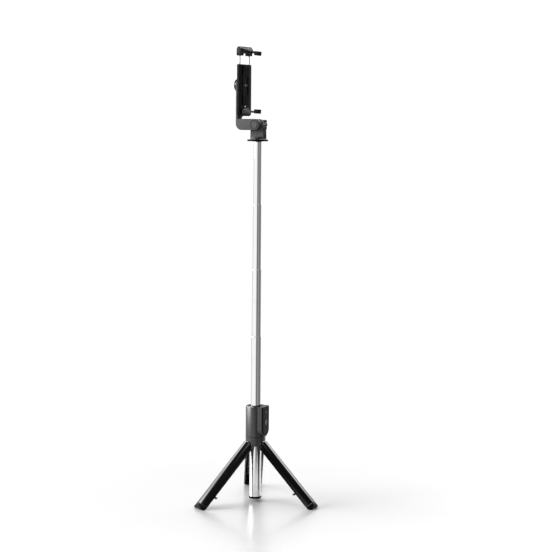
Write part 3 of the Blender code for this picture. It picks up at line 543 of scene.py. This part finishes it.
def tube_sections():
    """Five plated tubes, each rolled in at its mouth, the outermost flared at its foot."""
    for number, node in enumerate(TUBES):
        low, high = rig.box(node)
        foot = (high.x - low.x) / 2
        radius = 8.75 * MM if number == 0 else foot
        bore = radius - WALL
        profile = [
            (radius - 0.24 * MM, high.z), (radius - 0.13 * MM, high.z - 0.12 * MM),
            (radius - 0.05 * MM, high.z - 0.4 * MM), (radius, high.z - 1.1 * MM),
        ]
        if number == 0:
            profile += [(radius, low.z + 5 * MM), (radius + 0.15 * MM, low.z + 2.4 * MM)]
            foot = radius + 0.2 * MM
            low.z += CAP_COLLAR
        profile += [(foot, low.z), (foot - WALL, low.z)]
        if number == 0:
            profile += [(bore, low.z + 3 * MM)]
        profile += [(bore, high.z - 1.1 * MM), (bore + 0.02 * MM, high.z)]
        fitted(turned(profile, 128, closed=True), f"{node}_plated", node, CHROME, "chrome", STICK, 50)


def bottom_cap():
    """The black cap in the foot of the handle's inner tube, with a dished end."""
    low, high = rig.box("base_cap")
    rim = (high.x - low.x) / 2
    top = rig.box("base_tube")[0].z + CAP_COLLAR - 0.05 * MM
    profile = [
        (0, high.z), (rim - 1.3 * MM, high.z), (rim - 1.3 * MM, top), (rim - 0.3 * MM, top), (rim, top - 0.3 * MM),
        (rim, low.z + 0.8 * MM), (rim - 0.7 * MM, low.z), (rim - 2.4 * MM, low.z),
        (rim - 3 * MM, low.z + 0.4 * MM), (0, low.z + 0.4 * MM),
    ]
    fitted(soften(turned(profile), 0.25 * MM), "bottom_cap", "base_cap", DARK, "gloss_black", STICK)


# --- hub -------------------------------------------------------------------------------------------

HUB_RADIUS = 15 * MM
SLEEVE_BORE = 12.8 * MM
DOCK_FLOOR = 9.9 * MM
REMOTE_HALF = 10 * MM


def tongue(half, low, high, top=0.0):
    """Corners of an upright outline with a half-round lower end."""
    round_end = 0.97 * half
    return [(-half, low, round_end), (half, low, round_end), (half, high, top), (-half, high, top)]


def hub_shell():
    """The sleeve that the legs fold against, with the housing that the remote docks in."""
    low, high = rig.box("hub_sleeve")
    edge = 1 * MM
    shell = turned(
        [(HUB_RADIUS - edge, high.z), (HUB_RADIUS - 0.3 * edge, high.z - 0.3 * edge),
         (HUB_RADIUS, high.z - edge), (HUB_RADIUS, low.z + 0.2 * MM), (HUB_RADIUS - 0.2 * MM, low.z),
         (SLEEVE_BORE, low.z), (SLEEVE_BORE, high.z - 0.4 * MM), (SLEEVE_BORE + 0.4 * MM, high.z)],
        128, closed=True,
    )
    face = DOCK_FLOOR + 6.6 * MM
    housing = plate(tongue(REMOTE_HALF + 1.8 * MM, low.z, high.z), 6.4 * MM, face, FACE_X, 24)
    soften(housing, 0.8 * MM, 4, where=lambda line: max(end.co.x for end in line.verts) > face - HAIR)
    core = rod(SLEEVE_BORE, low.z - MM, high.z + MM, 128)
    pocket = plate(tongue(REMOTE_HALF + 0.3 * MM, low.z + 1.5 * MM, high.z + 5 * MM), DOCK_FLOOR, 0.03, FACE_X, 24)
    form = joined(shell, moved(housing, turn(-30, "Z")))
    form = combined(form, core)
    form = combined(form, moved(pocket, turn(-30, "Z")))
    fitted(form, "hub_shell", "hub_sleeve", SATIN, "satin_black", STICK, 30)


def hub_rings():
    """The slotted leg carrier and the collar round the tube at the top of the hub."""
    fitted(copy_of("leg_carrier"), "carrier", "leg_carrier", SATIN, "satin_black", None, 30)
    fitted(copy_of("hub_collar"), "collar", "hub_collar", DARK, "gloss_black", None, 30)


# --- legs ------------------------------------------------------------------------------------------

LEG_RADIUS = 16.5 * MM
LEG_BORE = 14.5 * MM
LEG_LENGTH = 125 * MM
PEG_DROP = 95 * MM
LEG_HALF = 59
FOOT_LENGTH = 7 * MM
SLOT_SLOPE = 1.15


def leg_place(side):
    """Origin on the pivot, X outwards and Z up along the leg."""
    pivot = middle(f"leg_pin_{side}")
    return Matrix.Translation(pivot) @ turn(LEG_TURNS[side], "Z") @ turn(-LEG_SPLAY, "Y")


def curved_wall(inner, outer, low, high, half=LEG_HALF, steps=40):
    """A length of wall whose section is an arc round the closed leg's centre line."""
    form = bmesh.new()
    corners = [(inner, low), (outer, low), (outer, high), (inner, high)]
    face = form.faces.new([form.verts.new((radius, 0, height)) for radius, height in corners])
    bmesh.ops.rotate(form, verts=form.verts, cent=(0, 0, 0), matrix=turn(-half, "Z"))
    bmesh.ops.spin(
        form, geom=[face], cent=(0, 0, 0), axis=(0, 0, 1), dvec=(0, 0, 0),
        angle=math.radians(2 * half), steps=steps, use_merge=False,
    )
    tidy(form)
    return moved(form, shift(-PIVOT_RADIUS))


def leg_shells():
    """Each leg: a curved shell tapered at the top, its knuckle and two stiffening ribs."""
    for side in LEG_TURNS:
        place = leg_place(side)
        shell = curved_wall(LEG_BORE, LEG_RADIUS, -LEG_LENGTH + FOOT_LENGTH + 0.3 * MM, 0)
        shell = cut_flat(shell, (0, 0, -2 * MM), (0, 0, 1))
        for hand in (-1, 1):
            start = (0, hand * 8.1 * MM, -2 * MM)
            shell = cut_flat(shell, start, Vector((0, hand * SLOT_SLOPE, 1)))
        soften(shell, 0.7 * MM, 4)
        fitted(shell, f"leg_shell_{side}", f"leg_{side}", GLOSS, "gloss_black", place, 30)

        barrel = moved(rod(2.3 * MM, -3.8 * MM, 3.8 * MM), ALONG_Y)
        web = plate(
            [(-1 * MM, -9 * MM, 0.6 * MM), (3.7 * MM, -9 * MM, 0), (3.7 * MM, -0.5 * MM, 0), (-1 * MM, -0.5 * MM, 0)],
            -3.8 * MM, 3.8 * MM, FACE_Y,
        )
        knuckle = combined(joined(barrel, web), moved(rod(1.1 * MM, -5 * MM, 5 * MM, 24), ALONG_Y))
        fitted(knuckle, f"leg_knuckle_{side}", f"leg_{side}", GLOSS, "gloss_black", place, 30)

        for hand, where in ((-1, "near"), (1, "far")):
            rib = plate(
                [(-4 * MM, -98 * MM, 3 * MM), (0, -98 * MM, 0), (0, -16 * MM, 0), (-4 * MM, -16 * MM, 3 * MM)],
                -0.6 * MM, 0.6 * MM, FACE_Y,
            )
            root = shift(-PIVOT_RADIUS) @ turn(hand * 34, "Z") @ shift(LEG_BORE + 0.3 * MM)
            moved(rib, root @ turn(-hand * 34, "Z") @ shift(1.2 * MM))
            fitted(
                soften(rib, 0.25 * MM, 2), f"leg_rib_{where}_{side}", f"leg_{side}", GLOSS, "gloss_black",
                place, 30, [],
            )


def leg_boots():
    """A rubber boot on the end of each leg, rounded, with a flat where it stands."""
    ground = cad_box[0].z
    for side in LEG_TURNS:
        place = leg_place(side)
        boot = curved_wall(0.5 * MM, LEG_RADIUS, -LEG_LENGTH, -LEG_LENGTH + FOOT_LENGTH)
        chord = LEG_RADIUS * math.cos(math.radians(LEG_HALF)) - PIVOT_RADIUS
        boot = cut_flat(boot, (chord, 0, 0), (-1, 0, 0))
        outer = LEG_RADIUS - PIVOT_RADIUS
        boot = cut_flat(boot, (outer, 0, 3.2 * MM - LEG_LENGTH), (1, 0, -1))
        for hand in (-1, 1):
            boot = cut_flat(boot, (0, hand * 14.1 * MM, 4 * MM - LEG_LENGTH), (0, hand, -1))
        soften(boot, 1.8 * MM, 6, 25, lambda line: max(end.co.z for end in line.verts) < 3.4 * MM - LEG_LENGTH)
        soften(boot, 0.4 * MM, 2, 50)
        boot = moved(boot, place)
        boot = cut_flat(boot, (0, 0, ground), (0, 0, -1))
        soften(boot, 1.1 * MM, 4, 20, lambda line: max(end.co.z for end in line.verts) < ground + 0.1 * MM)
        fitted(boot, f"leg_boot_{side}", f"foot_{side}", DARK, "rubber", None, 30)


def leg_pegs():
    """The hooked peg that snaps a folded leg against the tube."""
    for side in LEG_TURNS:
        base = LEG_BORE - 0.5 * MM - PIVOT_RADIUS
        tip = 4 * MM - PIVOT_RADIUS
        peg = turned(
            [(0, base), (2.7 * MM, base), (2.5 * MM, base - 0.7 * MM), (1.2 * MM, base - 1.3 * MM),
             (0.9 * MM, base - 2.2 * MM), (0.85 * MM, tip + 1.7 * MM), (1.5 * MM, tip + 1.1 * MM),
             (1.45 * MM, tip + 0.4 * MM), (0.9 * MM, tip), (0, tip)], 32,
        )
        moved(peg, shift(z=-PEG_DROP) @ ALONG_X)
        fitted(peg, f"locking_peg_{side}", f"leg_peg_{side}", DARK, "satin_black", leg_place(side), 40)
        for hand, where in ((-1, "near"), (1, "far")):
            hook = [(-2.6, -2.2), (-2.6, 2.2), (-6, 1.2), (-7.6, 2.8), (-8.5, 1), (-7.4, -1.2)]
            tooth = plate(
                [(out * MM, up * MM - PEG_DROP, 0.2 * MM) for out, up in hook], -0.8 * MM, 0.8 * MM, FACE_Y, 4,
            )
            moved(tooth, shift(y=hand * 11.5 * MM, z=-hand * 3.2 * MM))  # staggered, so that folded legs clear
            fitted(tooth, f"leg_hook_{where}_{side}", f"leg_{side}", GLOSS, "gloss_black", leg_place(side), 30, [])


# --- remote ----------------------------------------------------------------------------------------


def remote_case():
    """The docked remote: tray and cover with a seam, a sunk face, two dished buttons and a small lamp."""
    low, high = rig.box("remote_tray")
    start = DOCK_FLOOR + 0.3 * MM
    split = start + 3.6 * MM
    face = start + 7.3 * MM
    tray = plate(tongue(REMOTE_HALF, low.z, high.z, 1.5 * MM), start, split, FACE_X, 24)
    fitted(soften(tray, 0.3 * MM, 2, 50), "remote_back", "remote_tray", DARK, "satin_black", DOCK, 30)

    cover = plate(tongue(REMOTE_HALF, low.z, high.z, 1.5 * MM), split + 0.3 * MM, face, FACE_X, 24)
    soften(cover, 0.55 * MM, 3, 50)
    sunk = plate(tongue(REMOTE_HALF - 2 * MM, low.z + 2 * MM, high.z - 2 * MM, 1 * MM), face - 0.25 * MM, 0.03, FACE_X, 24)
    cover = combined(cover, sunk)
    buttons = {"shutter_button": 4.2 * MM, "mode_button": 2.2 * MM}
    for node, radius in buttons.items():
        hole = rod(radius + 0.3 * MM, split, 0.03, 64)
        cover = combined(cover, moved(hole, shift(z=middle(node).z) @ ALONG_X))
    lamp_height = high.z - 4.4 * MM
    cover = combined(cover, moved(rod(0.75 * MM, face - MM, 0.03, 32), shift(z=lamp_height) @ ALONG_X))
    fitted(cover, "remote_front", "remote_cover", DARK, "satin_black", DOCK, 30)
    lamp = turned([(0, face - 0.3 * MM), (0.45 * MM, face - 0.36 * MM), (0.65 * MM, face - 0.6 * MM),
                   (0.65 * MM, face - 0.9 * MM), (0, face - 0.9 * MM)], 32)
    moved(lamp, shift(z=lamp_height) @ ALONG_X)
    fitted(lamp, "remote_lamp", "remote_cover", CHARCOAL, "satin_black", DOCK, 40, [])

    for node, radius in buttons.items():
        top = face + 0.4 * MM
        button = turned(
            [(0, top - 0.3 * MM), (0.5 * radius, top - 0.24 * MM), (0.8 * radius, top - 0.06 * MM),
             (0.88 * radius, top), (0.96 * radius, top - 0.1 * MM), (radius, top - 0.35 * MM),
             (radius, split + 1.8 * MM), (0, split + 1.8 * MM)], 64,
        )
        moved(button, shift(z=middle(node).z) @ ALONG_X)
        fitted(button, f"{node}_cap", node, GLOSS, "gloss_black", DOCK, 40)


# --- folding head ----------------------------------------------------------------------------------

ARM_HALF = 8.25 * MM
ARM_NEAR = -11 * MM
ARM_FAR = -3 * MM
ARM_BACK = -32 * MM
UPRIGHT = 3.7 * MM
SWIVEL_RISE = SWIVEL - TILT
BOLT = 2.6 * MM


def head_plate():
    """The round flange on the tube's end, with a rolled rim and a fine groove in its top."""
    low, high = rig.box("head_flange")
    radius = (high.x - low.x) / 2
    tall = high.z - low.z
    form = turned(
        [(radius - 0.7 * MM, tall), (radius, tall - 0.6 * MM), (radius, 0.6 * MM), (radius - 0.7 * MM, 0),
         (3.6 * MM, 0), (3.6 * MM, tall), (radius - 2.6 * MM, tall), (radius - 2.4 * MM, tall - 0.3 * MM),
         (radius - 2 * MM, tall - 0.3 * MM), (radius - 1.8 * MM, tall)], 128, closed=True,
    )
    fitted(soften(form, 0.2 * MM, 2), "head_plate", "head_flange", DARK, "gloss_black", HEAD, 30)


def head_tower():
    """The block that carries the tilt bolt: barrel top, flared foot, ribbed far end."""
    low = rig.box("head_block")[0].z - TILT
    outline = [
        (-11.8 * MM, low, 0), (11.8 * MM, low, 0), (11 * MM, 0, 0.8 * MM), (ARM_HALF, 1.4 * MM, 0),
        (ARM_HALF, ARM_HALF, 0.97 * ARM_HALF), (-ARM_HALF, ARM_HALF, 0.97 * ARM_HALF),
        (-ARM_HALF, 1.4 * MM, 0), (-11 * MM, 0, 0.8 * MM),
    ]
    tower = soften(plate(outline, -2.7 * MM, 6 * MM, FACE_Y, 16), 0.6 * MM, 3)
    boss = soften(rod(9.5 * MM, low, low + 3.4 * MM, 96), 0.5 * MM, 3)
    tower = joined(tower, boss)
    for across in (0.15 * MM, 3.15 * MM):
        groove = plate(
            [(10.1 * MM, -0.03, 0), (0.03, -0.03, 0), (0.03, -4 * MM, 0), (10.1 * MM, -4 * MM, 0.5 * MM)],
            across - 0.6 * MM, across + 0.6 * MM, FACE_Y,
        )
        tower = combined(tower, groove)
    tower = combined(tower, moved(rod(BOLT, -0.02, 0.02, 48), ALONG_Y))
    tower = combined(tower, rod(3.6 * MM, low - MM, low + 2.4 * MM, 48))
    fitted(tower, "head_tower", "head_block", CHARCOAL, "grey_plastic", TILT_AXIS, 30)


def bolt_and_wing_nut():
    """The tilt bolt's disc head and the wing nut on its far end."""
    head_low = ARM_NEAR - 0.1 * MM
    bolt = turned(
        [(0, 16 * MM), (2.5 * MM, 16 * MM), (2.5 * MM, head_low + 1.3 * MM), (5.7 * MM, head_low + 1.3 * MM),
         (5.7 * MM, head_low + 0.4 * MM), (5.3 * MM, head_low), (4.3 * MM, head_low),
         (4 * MM, head_low + 0.2 * MM), (0, head_low + 0.1 * MM)], 96,
    )
    fitted(moved(bolt, ALONG_Y), "tilt_bolt_turned", "tilt_bolt", CHARCOAL, "grey_plastic", TILT_AXIS, 30)

    barrel = turned(
        [(0, 21.3 * MM), (2.6 * MM, 21.3 * MM), (3.8 * MM, 20.2 * MM), (4.2 * MM, 15 * MM), (4.2 * MM, 7.6 * MM),
         (3.9 * MM, 6.5 * MM), (0, 6.5 * MM)], 64,
    )
    wings = plate(
        [(-2.4 * MM, -7.2 * MM, 2.2 * MM), (2.4 * MM, -7.2 * MM, 2.2 * MM), (1.3 * MM, 0, 0),
         (2.4 * MM, 7.2 * MM, 2.2 * MM), (-2.4 * MM, 7.2 * MM, 2.2 * MM), (-1.3 * MM, 0, 0)],
        14 * MM, 22.5 * MM, FACE_Y,
    )
    soften(wings, 1 * MM, 4, 50)
    bmesh.ops.rotate(wings, verts=wings.verts, cent=(0, 0, 0), matrix=turn(180, "X"))
    for end in wings.verts:
        end.co.y = abs(end.co.y)
    tidy(wings)
    form = joined(moved(barrel, ALONG_Y), wings)
    form = combined(form, moved(rod(BOLT, 0, 16.3 * MM, 48), ALONG_Y))
    fitted(form, "wing_nut", "tilt_knob", DARK, "gloss_black", TILT_AXIS, 35)


def neck_bracket():
    """The bent arm: a foot that clasps the tilt bolt and an upright behind the clamp."""
    front = ARM_BACK + UPRIGHT
    foot = plate(
        [(ARM_BACK, -ARM_HALF, 10 * MM), (ARM_HALF, -ARM_HALF, 0.97 * ARM_HALF),
         (ARM_HALF, ARM_HALF, 0.97 * ARM_HALF), (front, ARM_HALF, 0), (front, ARM_HALF + 3 * MM, 0),
         (ARM_BACK, ARM_HALF + 3 * MM, 0)], ARM_NEAR, ARM_FAR, FACE_Y, 20,
    )
    soften(foot, 0.6 * MM, 3)
    wide = -ARM_NEAR
    top = SWIVEL_RISE + wide
    upright = plate(
        [(ARM_NEAR, 2 * MM, 0), (ARM_FAR, 2 * MM, 0), (ARM_FAR, ARM_HALF - 3 * MM, 0),
         (wide, ARM_HALF + 12 * MM, 3 * MM), (wide, top, 0.98 * wide), (ARM_NEAR, top, 0.98 * wide)],
        ARM_BACK, front, FACE_X, 20,
    )
    soften(upright, 0.6 * MM, 3)
    form = joined(foot, upright)
    form = combined(form, moved(rod(BOLT, -0.02, 0, 48), ALONG_Y))
    form = combined(form, moved(rod(6.35 * MM, -0.02, ARM_NEAR + 1.5 * MM, 96), ALONG_Y))
    form = combined(form, moved(rod(2.1 * MM, 2 * ARM_BACK, 0, 48), shift(z=SWIVEL_RISE) @ ALONG_X))
    fitted(form, "neck_bracket", "neck_arm", CHARCOAL, "grey_plastic", TILT_AXIS, 30)


def back_knob():
    """The ribbed knob behind the neck that locks the clamp's turn."""
    front = ARM_BACK - 0.3 * MM
    back = front - 4.7 * MM
    profile = [
        (0, front), (8.8 * MM, front), (9.6 * MM, front - 0.8 * MM), (9.6 * MM, back + 1.3 * MM),
        (9 * MM, back + 0.4 * MM), (8.1 * MM, back), (6.4 * MM, back), (6 * MM, back + 0.5 * MM), (0, back + 0.4 * MM),
    ]
    form = turned(profile, 96)
    rim = [
        face for face in form.faces
        if all(math.hypot(end.co.x, end.co.y) > 9.59 * MM for end in face.verts) and abs(face.normal.z) < 0.1
    ]
    rim.sort(key=lambda face: math.atan2(face.calc_center_median().y, face.calc_center_median().x))
    bmesh.ops.inset_individual(form, faces=rim[::2], thickness=0.06 * MM, depth=-0.45 * MM)
    tidy(form)
    form = combined(form, rod(2.1 * MM, front - 3.3 * MM, front + MM, 48))
    moved(form, ALONG_X)
    fitted(form, "back_knob_ribbed", "swivel_knob", GLOSS, "gloss_black", SWIVEL_AXIS, 30)


def swivel_bolt_head():
    """The blackened bolt that the clamp turns on, with a bright cross slot."""
    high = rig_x("swivel_bolt", 1)
    low = high - 1.3 * MM
    end = ARM_BACK - 3.3 * MM
    form = turned(
        [(0, high), (3.7 * MM, high), (4 * MM, high - 0.3 * MM), (4 * MM, low), (2 * MM, low), (2 * MM, end), (0, end)], 64,
    )
    moved(form, ALONG_X)
    for wide, tall in ((2.6 * MM, 0.55 * MM), (0.55 * MM, 2.6 * MM)):
        slot = plate([(-wide, -tall, 0), (wide, -tall, 0), (wide, tall, 0), (-wide, tall, 0)], high - 0.7 * MM, 0, FACE_X)
        form = combined(form, slot)
    made = fitted(form, "swivel_bolt_turned", "swivel_bolt", DARK, "steel", SWIVEL_AXIS, 30)
    made.data.materials.append(STEEL)
    centre = SWIVEL_AXIS @ Vector((high, 0, 0))
    outwards = SWIVEL_AXIS.to_3x3() @ Vector((1, 0, 0))
    for face in made.data.polygons:
        depth = (face.center - centre).dot(outwards)
        if -0.75 * MM < depth < -0.05 * MM and (face.center - centre).length < 2.8 * MM:
            face.material_index = 1


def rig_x(node, side):
    """How far a node on the swivel axis reaches along that axis, from the stick's own."""
    across = SWIVEL_AXIS.inverted()
    ends = [(across @ vertex.co).x for vertex in frame["nodes"][node].data.vertices]
    return max(ends) if side else min(ends)


# --- phone clamp -----------------------------------------------------------------------------------

CLAMP_HALF = 16 * MM
CLAMP_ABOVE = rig.box("clamp_back")[1].z - SWIVEL
CLAMP_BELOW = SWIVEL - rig.box("clamp_back")[0].z
CLAMP_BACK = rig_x("clamp_back", 0)
CLAMP_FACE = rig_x("clamp_front", 1)


def clamp_shells():
    """Two mouldings with a seam down the side, bored for the rods, the front one open at the swivel bolt."""
    body = [
        (-CLAMP_HALF, -CLAMP_BELOW, 5 * MM), (CLAMP_HALF, -CLAMP_BELOW, 5 * MM),
        (CLAMP_HALF, CLAMP_ABOVE, 0.8 * MM), (-CLAMP_HALF, CLAMP_ABOVE, 0.8 * MM),
    ]
    split = CLAMP_BACK + 2.6 * MM
    shells = {
        "clamp_back": (plate(body, CLAMP_BACK, split, FACE_X), CLAMP_BACK),
        "clamp_front": (plate(body, split + 0.3 * MM, CLAMP_FACE, FACE_X), CLAMP_FACE),
    }
    depth = (CLAMP_BACK + CLAMP_FACE) / 2
    room = [(-15 * MM, 2 * MM - CLAMP_BELOW, 4 * MM), (15 * MM, 2 * MM - CLAMP_BELOW, 4 * MM),
            (15 * MM, CLAMP_ABOVE - 2 * MM, 0), (-15 * MM, CLAMP_ABOVE - 2 * MM, 0)]
    for node, (form, outer) in shells.items():
        soften(form, 0.6 * MM, 3, 50, lambda line, outer=outer: all(abs(end.co.x - outer) < HAIR for end in line.verts))
        for across in (-12.4 * MM, 12.4 * MM):
            form = combined(form, moved(rod(1.4 * MM, 0.01, 0.05, 32), shift(depth, across)))
        form = combined(form, plate(room, CLAMP_BACK + MM, CLAMP_FACE - 1.2 * MM, FACE_X))
        hole = 2.1 * MM if node == "clamp_back" else 4.3 * MM
        form = combined(form, moved(rod(hole, -0.04, 0, 48), ALONG_X))
        if node == "clamp_front":
            form = combined(form, plate(
                [(-8.4 * MM, -29.4 * MM, 2.3 * MM), (8.4 * MM, -29.4 * MM, 2.3 * MM),
                 (8.4 * MM, 28.8 * MM, 2.3 * MM), (-8.4 * MM, 28.8 * MM, 2.3 * MM)],
                CLAMP_FACE - 0.25 * MM, 0, FACE_X,
            ))
        fitted(form, f"{node}_moulding", node, DARK, "satin_black", SWIVEL_AXIS, 30)


def grip():
    """The soft panel that the phone's back rests on, with a window round the bolt and fine cross ribs."""
    low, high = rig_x("grip_panel", 0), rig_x("grip_panel", 1)
    half = 8 * MM
    panel = plate(
        [(-half, -29 * MM, 2 * MM), (half, -29 * MM, 2 * MM), (half, 28.4 * MM, 2 * MM), (-half, 28.4 * MM, 2 * MM)],
        low - 0.2 * MM, high, FACE_X,
    )
    panel = combined(panel, plate(
        [(-7 * MM, -14.5 * MM, MM), (7 * MM, -14.5 * MM, MM), (7 * MM, 12 * MM, MM), (-7 * MM, 12 * MM, MM)],
        -0.04, 0, FACE_X,
    ))
    soften(panel, 0.25 * MM, 2, 50)
    for height in [-26.4 + 1.6 * step for step in range(7)] + [14.6 + 1.6 * step for step in range(8)]:
        line = plate(
            [(-6.6 * MM, height * MM, 0), (6.6 * MM, height * MM, 0), (6.6 * MM, (height + 0.5) * MM, 0),
             (-6.6 * MM, (height + 0.5) * MM, 0)], high - 0.15 * MM, 0, FACE_X,
        )
        panel = combined(panel, line)
    fitted(panel, "grip_moulding", "grip_panel", RUBBER, "rubber", SWIVEL_AXIS, 30)
    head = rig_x("swivel_bolt", 1)
    points = [(7.6, 0), (1.7, 0.9), (0, 3.4), (-1.7, 0.9), (-7.6, 0), (-1.7, -0.9), (0, -3.4), (1.7, -0.9)]
    cross = plate([(across * MM, up * MM, 0.1 * MM) for across, up in points], head + 0.05 * MM, head + 0.5 * MM, FACE_X, 3)
    # the cross takes the lighter grey, a painted highlight standing in for light that its faces don't get from the
    # lamps
    fitted(cross, "window_cross", "clamp_front", PAINTED_HIGHLIGHT_GREY, "grey_plastic", SWIVEL_AXIS, 30, [])


def rivet_and_screws():
    """The bright domed rivet under the panel and the two screws in the clamp's back."""
    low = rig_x("clamp_rivet", 0)
    spot = SWIVEL_AXIS.inverted() @ middle("clamp_rivet")
    dome = turned(
        [(0, 1.3 * MM), (0.5 * MM, 1.25 * MM), (0.9 * MM, 1.05 * MM), (1.25 * MM, 0.7 * MM), (1.45 * MM, 0.25 * MM),
         (1.5 * MM, 0), (0, 0)], 48,
    )
    moved(dome, shift(low, spot.y, spot.z) @ ALONG_X)
    fitted(dome, "rivet_dome", "clamp_rivet", CHROME, "chrome", SWIVEL_AXIS, 50)
    for node in ("clamp_screw_upper", "clamp_screw_lower"):
        spot = SWIVEL_AXIS.inverted() @ middle(node)
        screw = turned([(0, -1.1 * MM), (1.2 * MM, -1.1 * MM), (1.8 * MM, -0.85 * MM), (2 * MM, -0.4 * MM),
                        (2 * MM, -0.1 * MM), (0, -0.1 * MM)], 48)
        for wide, tall in ((1.1 * MM, 0.25 * MM), (0.25 * MM, 1.1 * MM)):
            slot = plate([(-wide, -tall, 0), (wide, -tall, 0), (wide, tall, 0), (-wide, tall, 0)], -2 * MM, -0.6 * MM)
            screw = combined(screw, slot)
        moved(screw, shift(CLAMP_BACK, spot.y, spot.z) @ ALONG_X)
        fitted(screw, f"{node}_turned", node, STEEL, "steel", SWIVEL_AXIS, 30)


def jaws():
    """Both jaws with their soft pads, and the plated rods of the upper one."""
    fitted(copy_of("upper_jaw"), "upper_jaw_moulding", "upper_jaw", DARK, "grey_plastic", None, 30)
    # the lower jaw takes the lighter grey, a painted highlight for the light on its root; the upper jaw, of the same
    # grey plastic, stays dark
    fitted(copy_of("lower_jaw"), "lower_jaw_moulding", "lower_jaw", PAINTED_HIGHLIGHT_GREY, "grey_plastic", None, 30)
    for node in ("upper_jaw_pad", "lower_jaw_pad"):
        fitted(copy_of(node), f"{node}_rubber", node, RUBBER, "rubber", None, 30)
    for node in ("jaw_rod_near", "jaw_rod_far"):
        low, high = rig.box(node)
        spot = middle(node)
        radius = (high.x - low.x) / 2
        form = soften(rod(radius, low.z, high.z, 48), 0.3 * MM, 3)
        fitted(form, f"{node}_plated", node, ROD_STEEL, "chrome", shift(spot.x, spot.y), 40)


# --- floor, light and camera -----------------------------------------------------------------------

VIEW_TURN = 3  # degrees that the view is turned from straight along +Y
DISTANCE = 2.14
EYE = 0.557  # height of the camera over the floor
LOOK_DOWN = 5.8


def studio_floor():
    """A pale, slightly polished sweep that melts into the white behind it."""
    form = bmesh.new()
    bmesh.ops.create_circle(form, cap_ends=True, radius=1.2, segments=96, matrix=STICK)
    mesh = bpy.data.meshes.new("studio_floor")
    form.to_mesh(mesh)
    form.free()
    finish = Finish("studio_floor", {"Specular IOR Level": 0.3, "Roughness": 0.28})
    spot = finish.node("ShaderNodeTexCoord", output="Object")
    away = finish.node("ShaderNodeVectorMath", {"operation": "DISTANCE"}, {0: spot, 1: tuple(AXIS.xy) + (0,)}, "Value")
    cloud = finish.noise(0.4, 2)
    finish.varies({
        "Base Color": finish.mix(cloud, (0.52, 0.52, 0.522), (0.55, 0.55, 0.55)),
        "Alpha": away.ramp(0.14, 0.5, 1, 0),
    })
    mesh.materials.append(finish.material)
    floor = bpy.data.objects.new("studio_floor", mesh)
    bpy.context.scene.collection.objects.link(floor)
    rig.stage(floor)


def studio_light():
    """White all round, with a dark screen on the right, a tall soft box on the left and one overhead."""
    world = bpy.data.worlds.new("studio")
    bpy.context.scene.world = world
    world.use_nodes = True
    light = Recipe(world.node_tree)
    heading = light.node("ShaderNodeTexCoord", output="Generated")
    heading = light.node("ShaderNodeVectorRotate", {"rotation_type": "Z_AXIS"}, {"Vector": heading, "Angle": math.radians(VIEW_TURN)})
    parts = light.tree.nodes.new("ShaderNodeSeparateXYZ")
    light.feed(parts.inputs[0], heading)
    x, y, z = (Reading(light, parts.outputs[i]) for i in range(3))
    round_angle = x.maths("ARCTAN2", x, 0 - y) * (180 / math.pi)  # 0 at the camera, 90 at the right
    screen = round_angle.ramp(-16, 8) * round_angle.ramp(96, 132, 1, 0)
    stripe = round_angle.ramp(26, 38) * round_angle.ramp(44, 58, 1, 0)
    left_fold = round_angle.ramp(-138, -122) * round_angle.ramp(-112, -92, 1, 0)
    level = z.ramp(0.2, 0.4, 1, 0)
    glow = 0.06 + level * (0.99 - 0.86 * screen + 0.2 * screen * stripe - 0.38 * left_fold)
    side = round_angle.ramp(-126, -108) * round_angle.ramp(-74, -56, 1, 0) * z.ramp(0.03, 0.1) * z.ramp(0.5, 0.7, 1, 0)
    behind = round_angle.ramp(114, 128) + round_angle.ramp(-128, -114, 1, 0)
    arch = behind * z.ramp(0.3, 0.38) * z.ramp(0.55, 0.66, 1, 0)
    front = round_angle.ramp(2, 18) * round_angle.ramp(40, 56, 1, 0) * z.ramp(0.1, 0.2) * z.ramp(0.5, 0.7, 1, 0)
    overhead = z.ramp(0.84, 0.95)
    strength = glow + 12.0 * side + 5.0 * arch + 0.6 * front + 1.6 * overhead
    seen = light.node("ShaderNodeLightPath", output="Is Camera Ray")
    strength = seen * 1.06 + (1 - seen) * strength
    light.feed(light.tree.nodes["Background"].inputs["Strength"], strength)
    light.tree.nodes["Background"].inputs["Color"].default_value = (1, 1, 1, 1)


def camera():
    """Level with the head of the stick, a little to its right, looking slightly down and leaning by half a degree."""
    data = bpy.data.cameras.new("camera")
    data.lens = 94.6
    data.sensor_width = 36
    made = bpy.data.objects.new("camera", data)
    bpy.context.scene.collection.objects.link(made)
    stand = STICK @ turn(-VIEW_TURN, "Z") @ shift(28.6 * MM, -DISTANCE, EYE)
    made.matrix_world = stand @ turn(90 - LOOK_DOWN, "X") @ turn(0.5, "Z")
    bpy.context.scene.camera = made
    bpy.context.scene.view_settings.view_transform = "Standard"


for subpart in frame["record"]["subparts"]:
    for slot in frame["nodes"][subpart["node"]].material_slots:
        slot.material = SLOT_FINISHES[subpart["material_slot"]]

tube_sections()
bottom_cap()
hub_shell()
hub_rings()
leg_shells()
leg_boots()
leg_pegs()
remote_case()
head_plate()
head_tower()
bolt_and_wing_nut()
neck_bracket()
back_knob()
swivel_bolt_head()
clamp_shells()
grip()
rivet_and_screws()
jaws()
studio_floor()
studio_light()
camera()

with open("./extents.json", "w") as file:
    json.dump({"cad": [list(end) for end in cad_box], "visual": [list(end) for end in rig.bounds()]}, file)
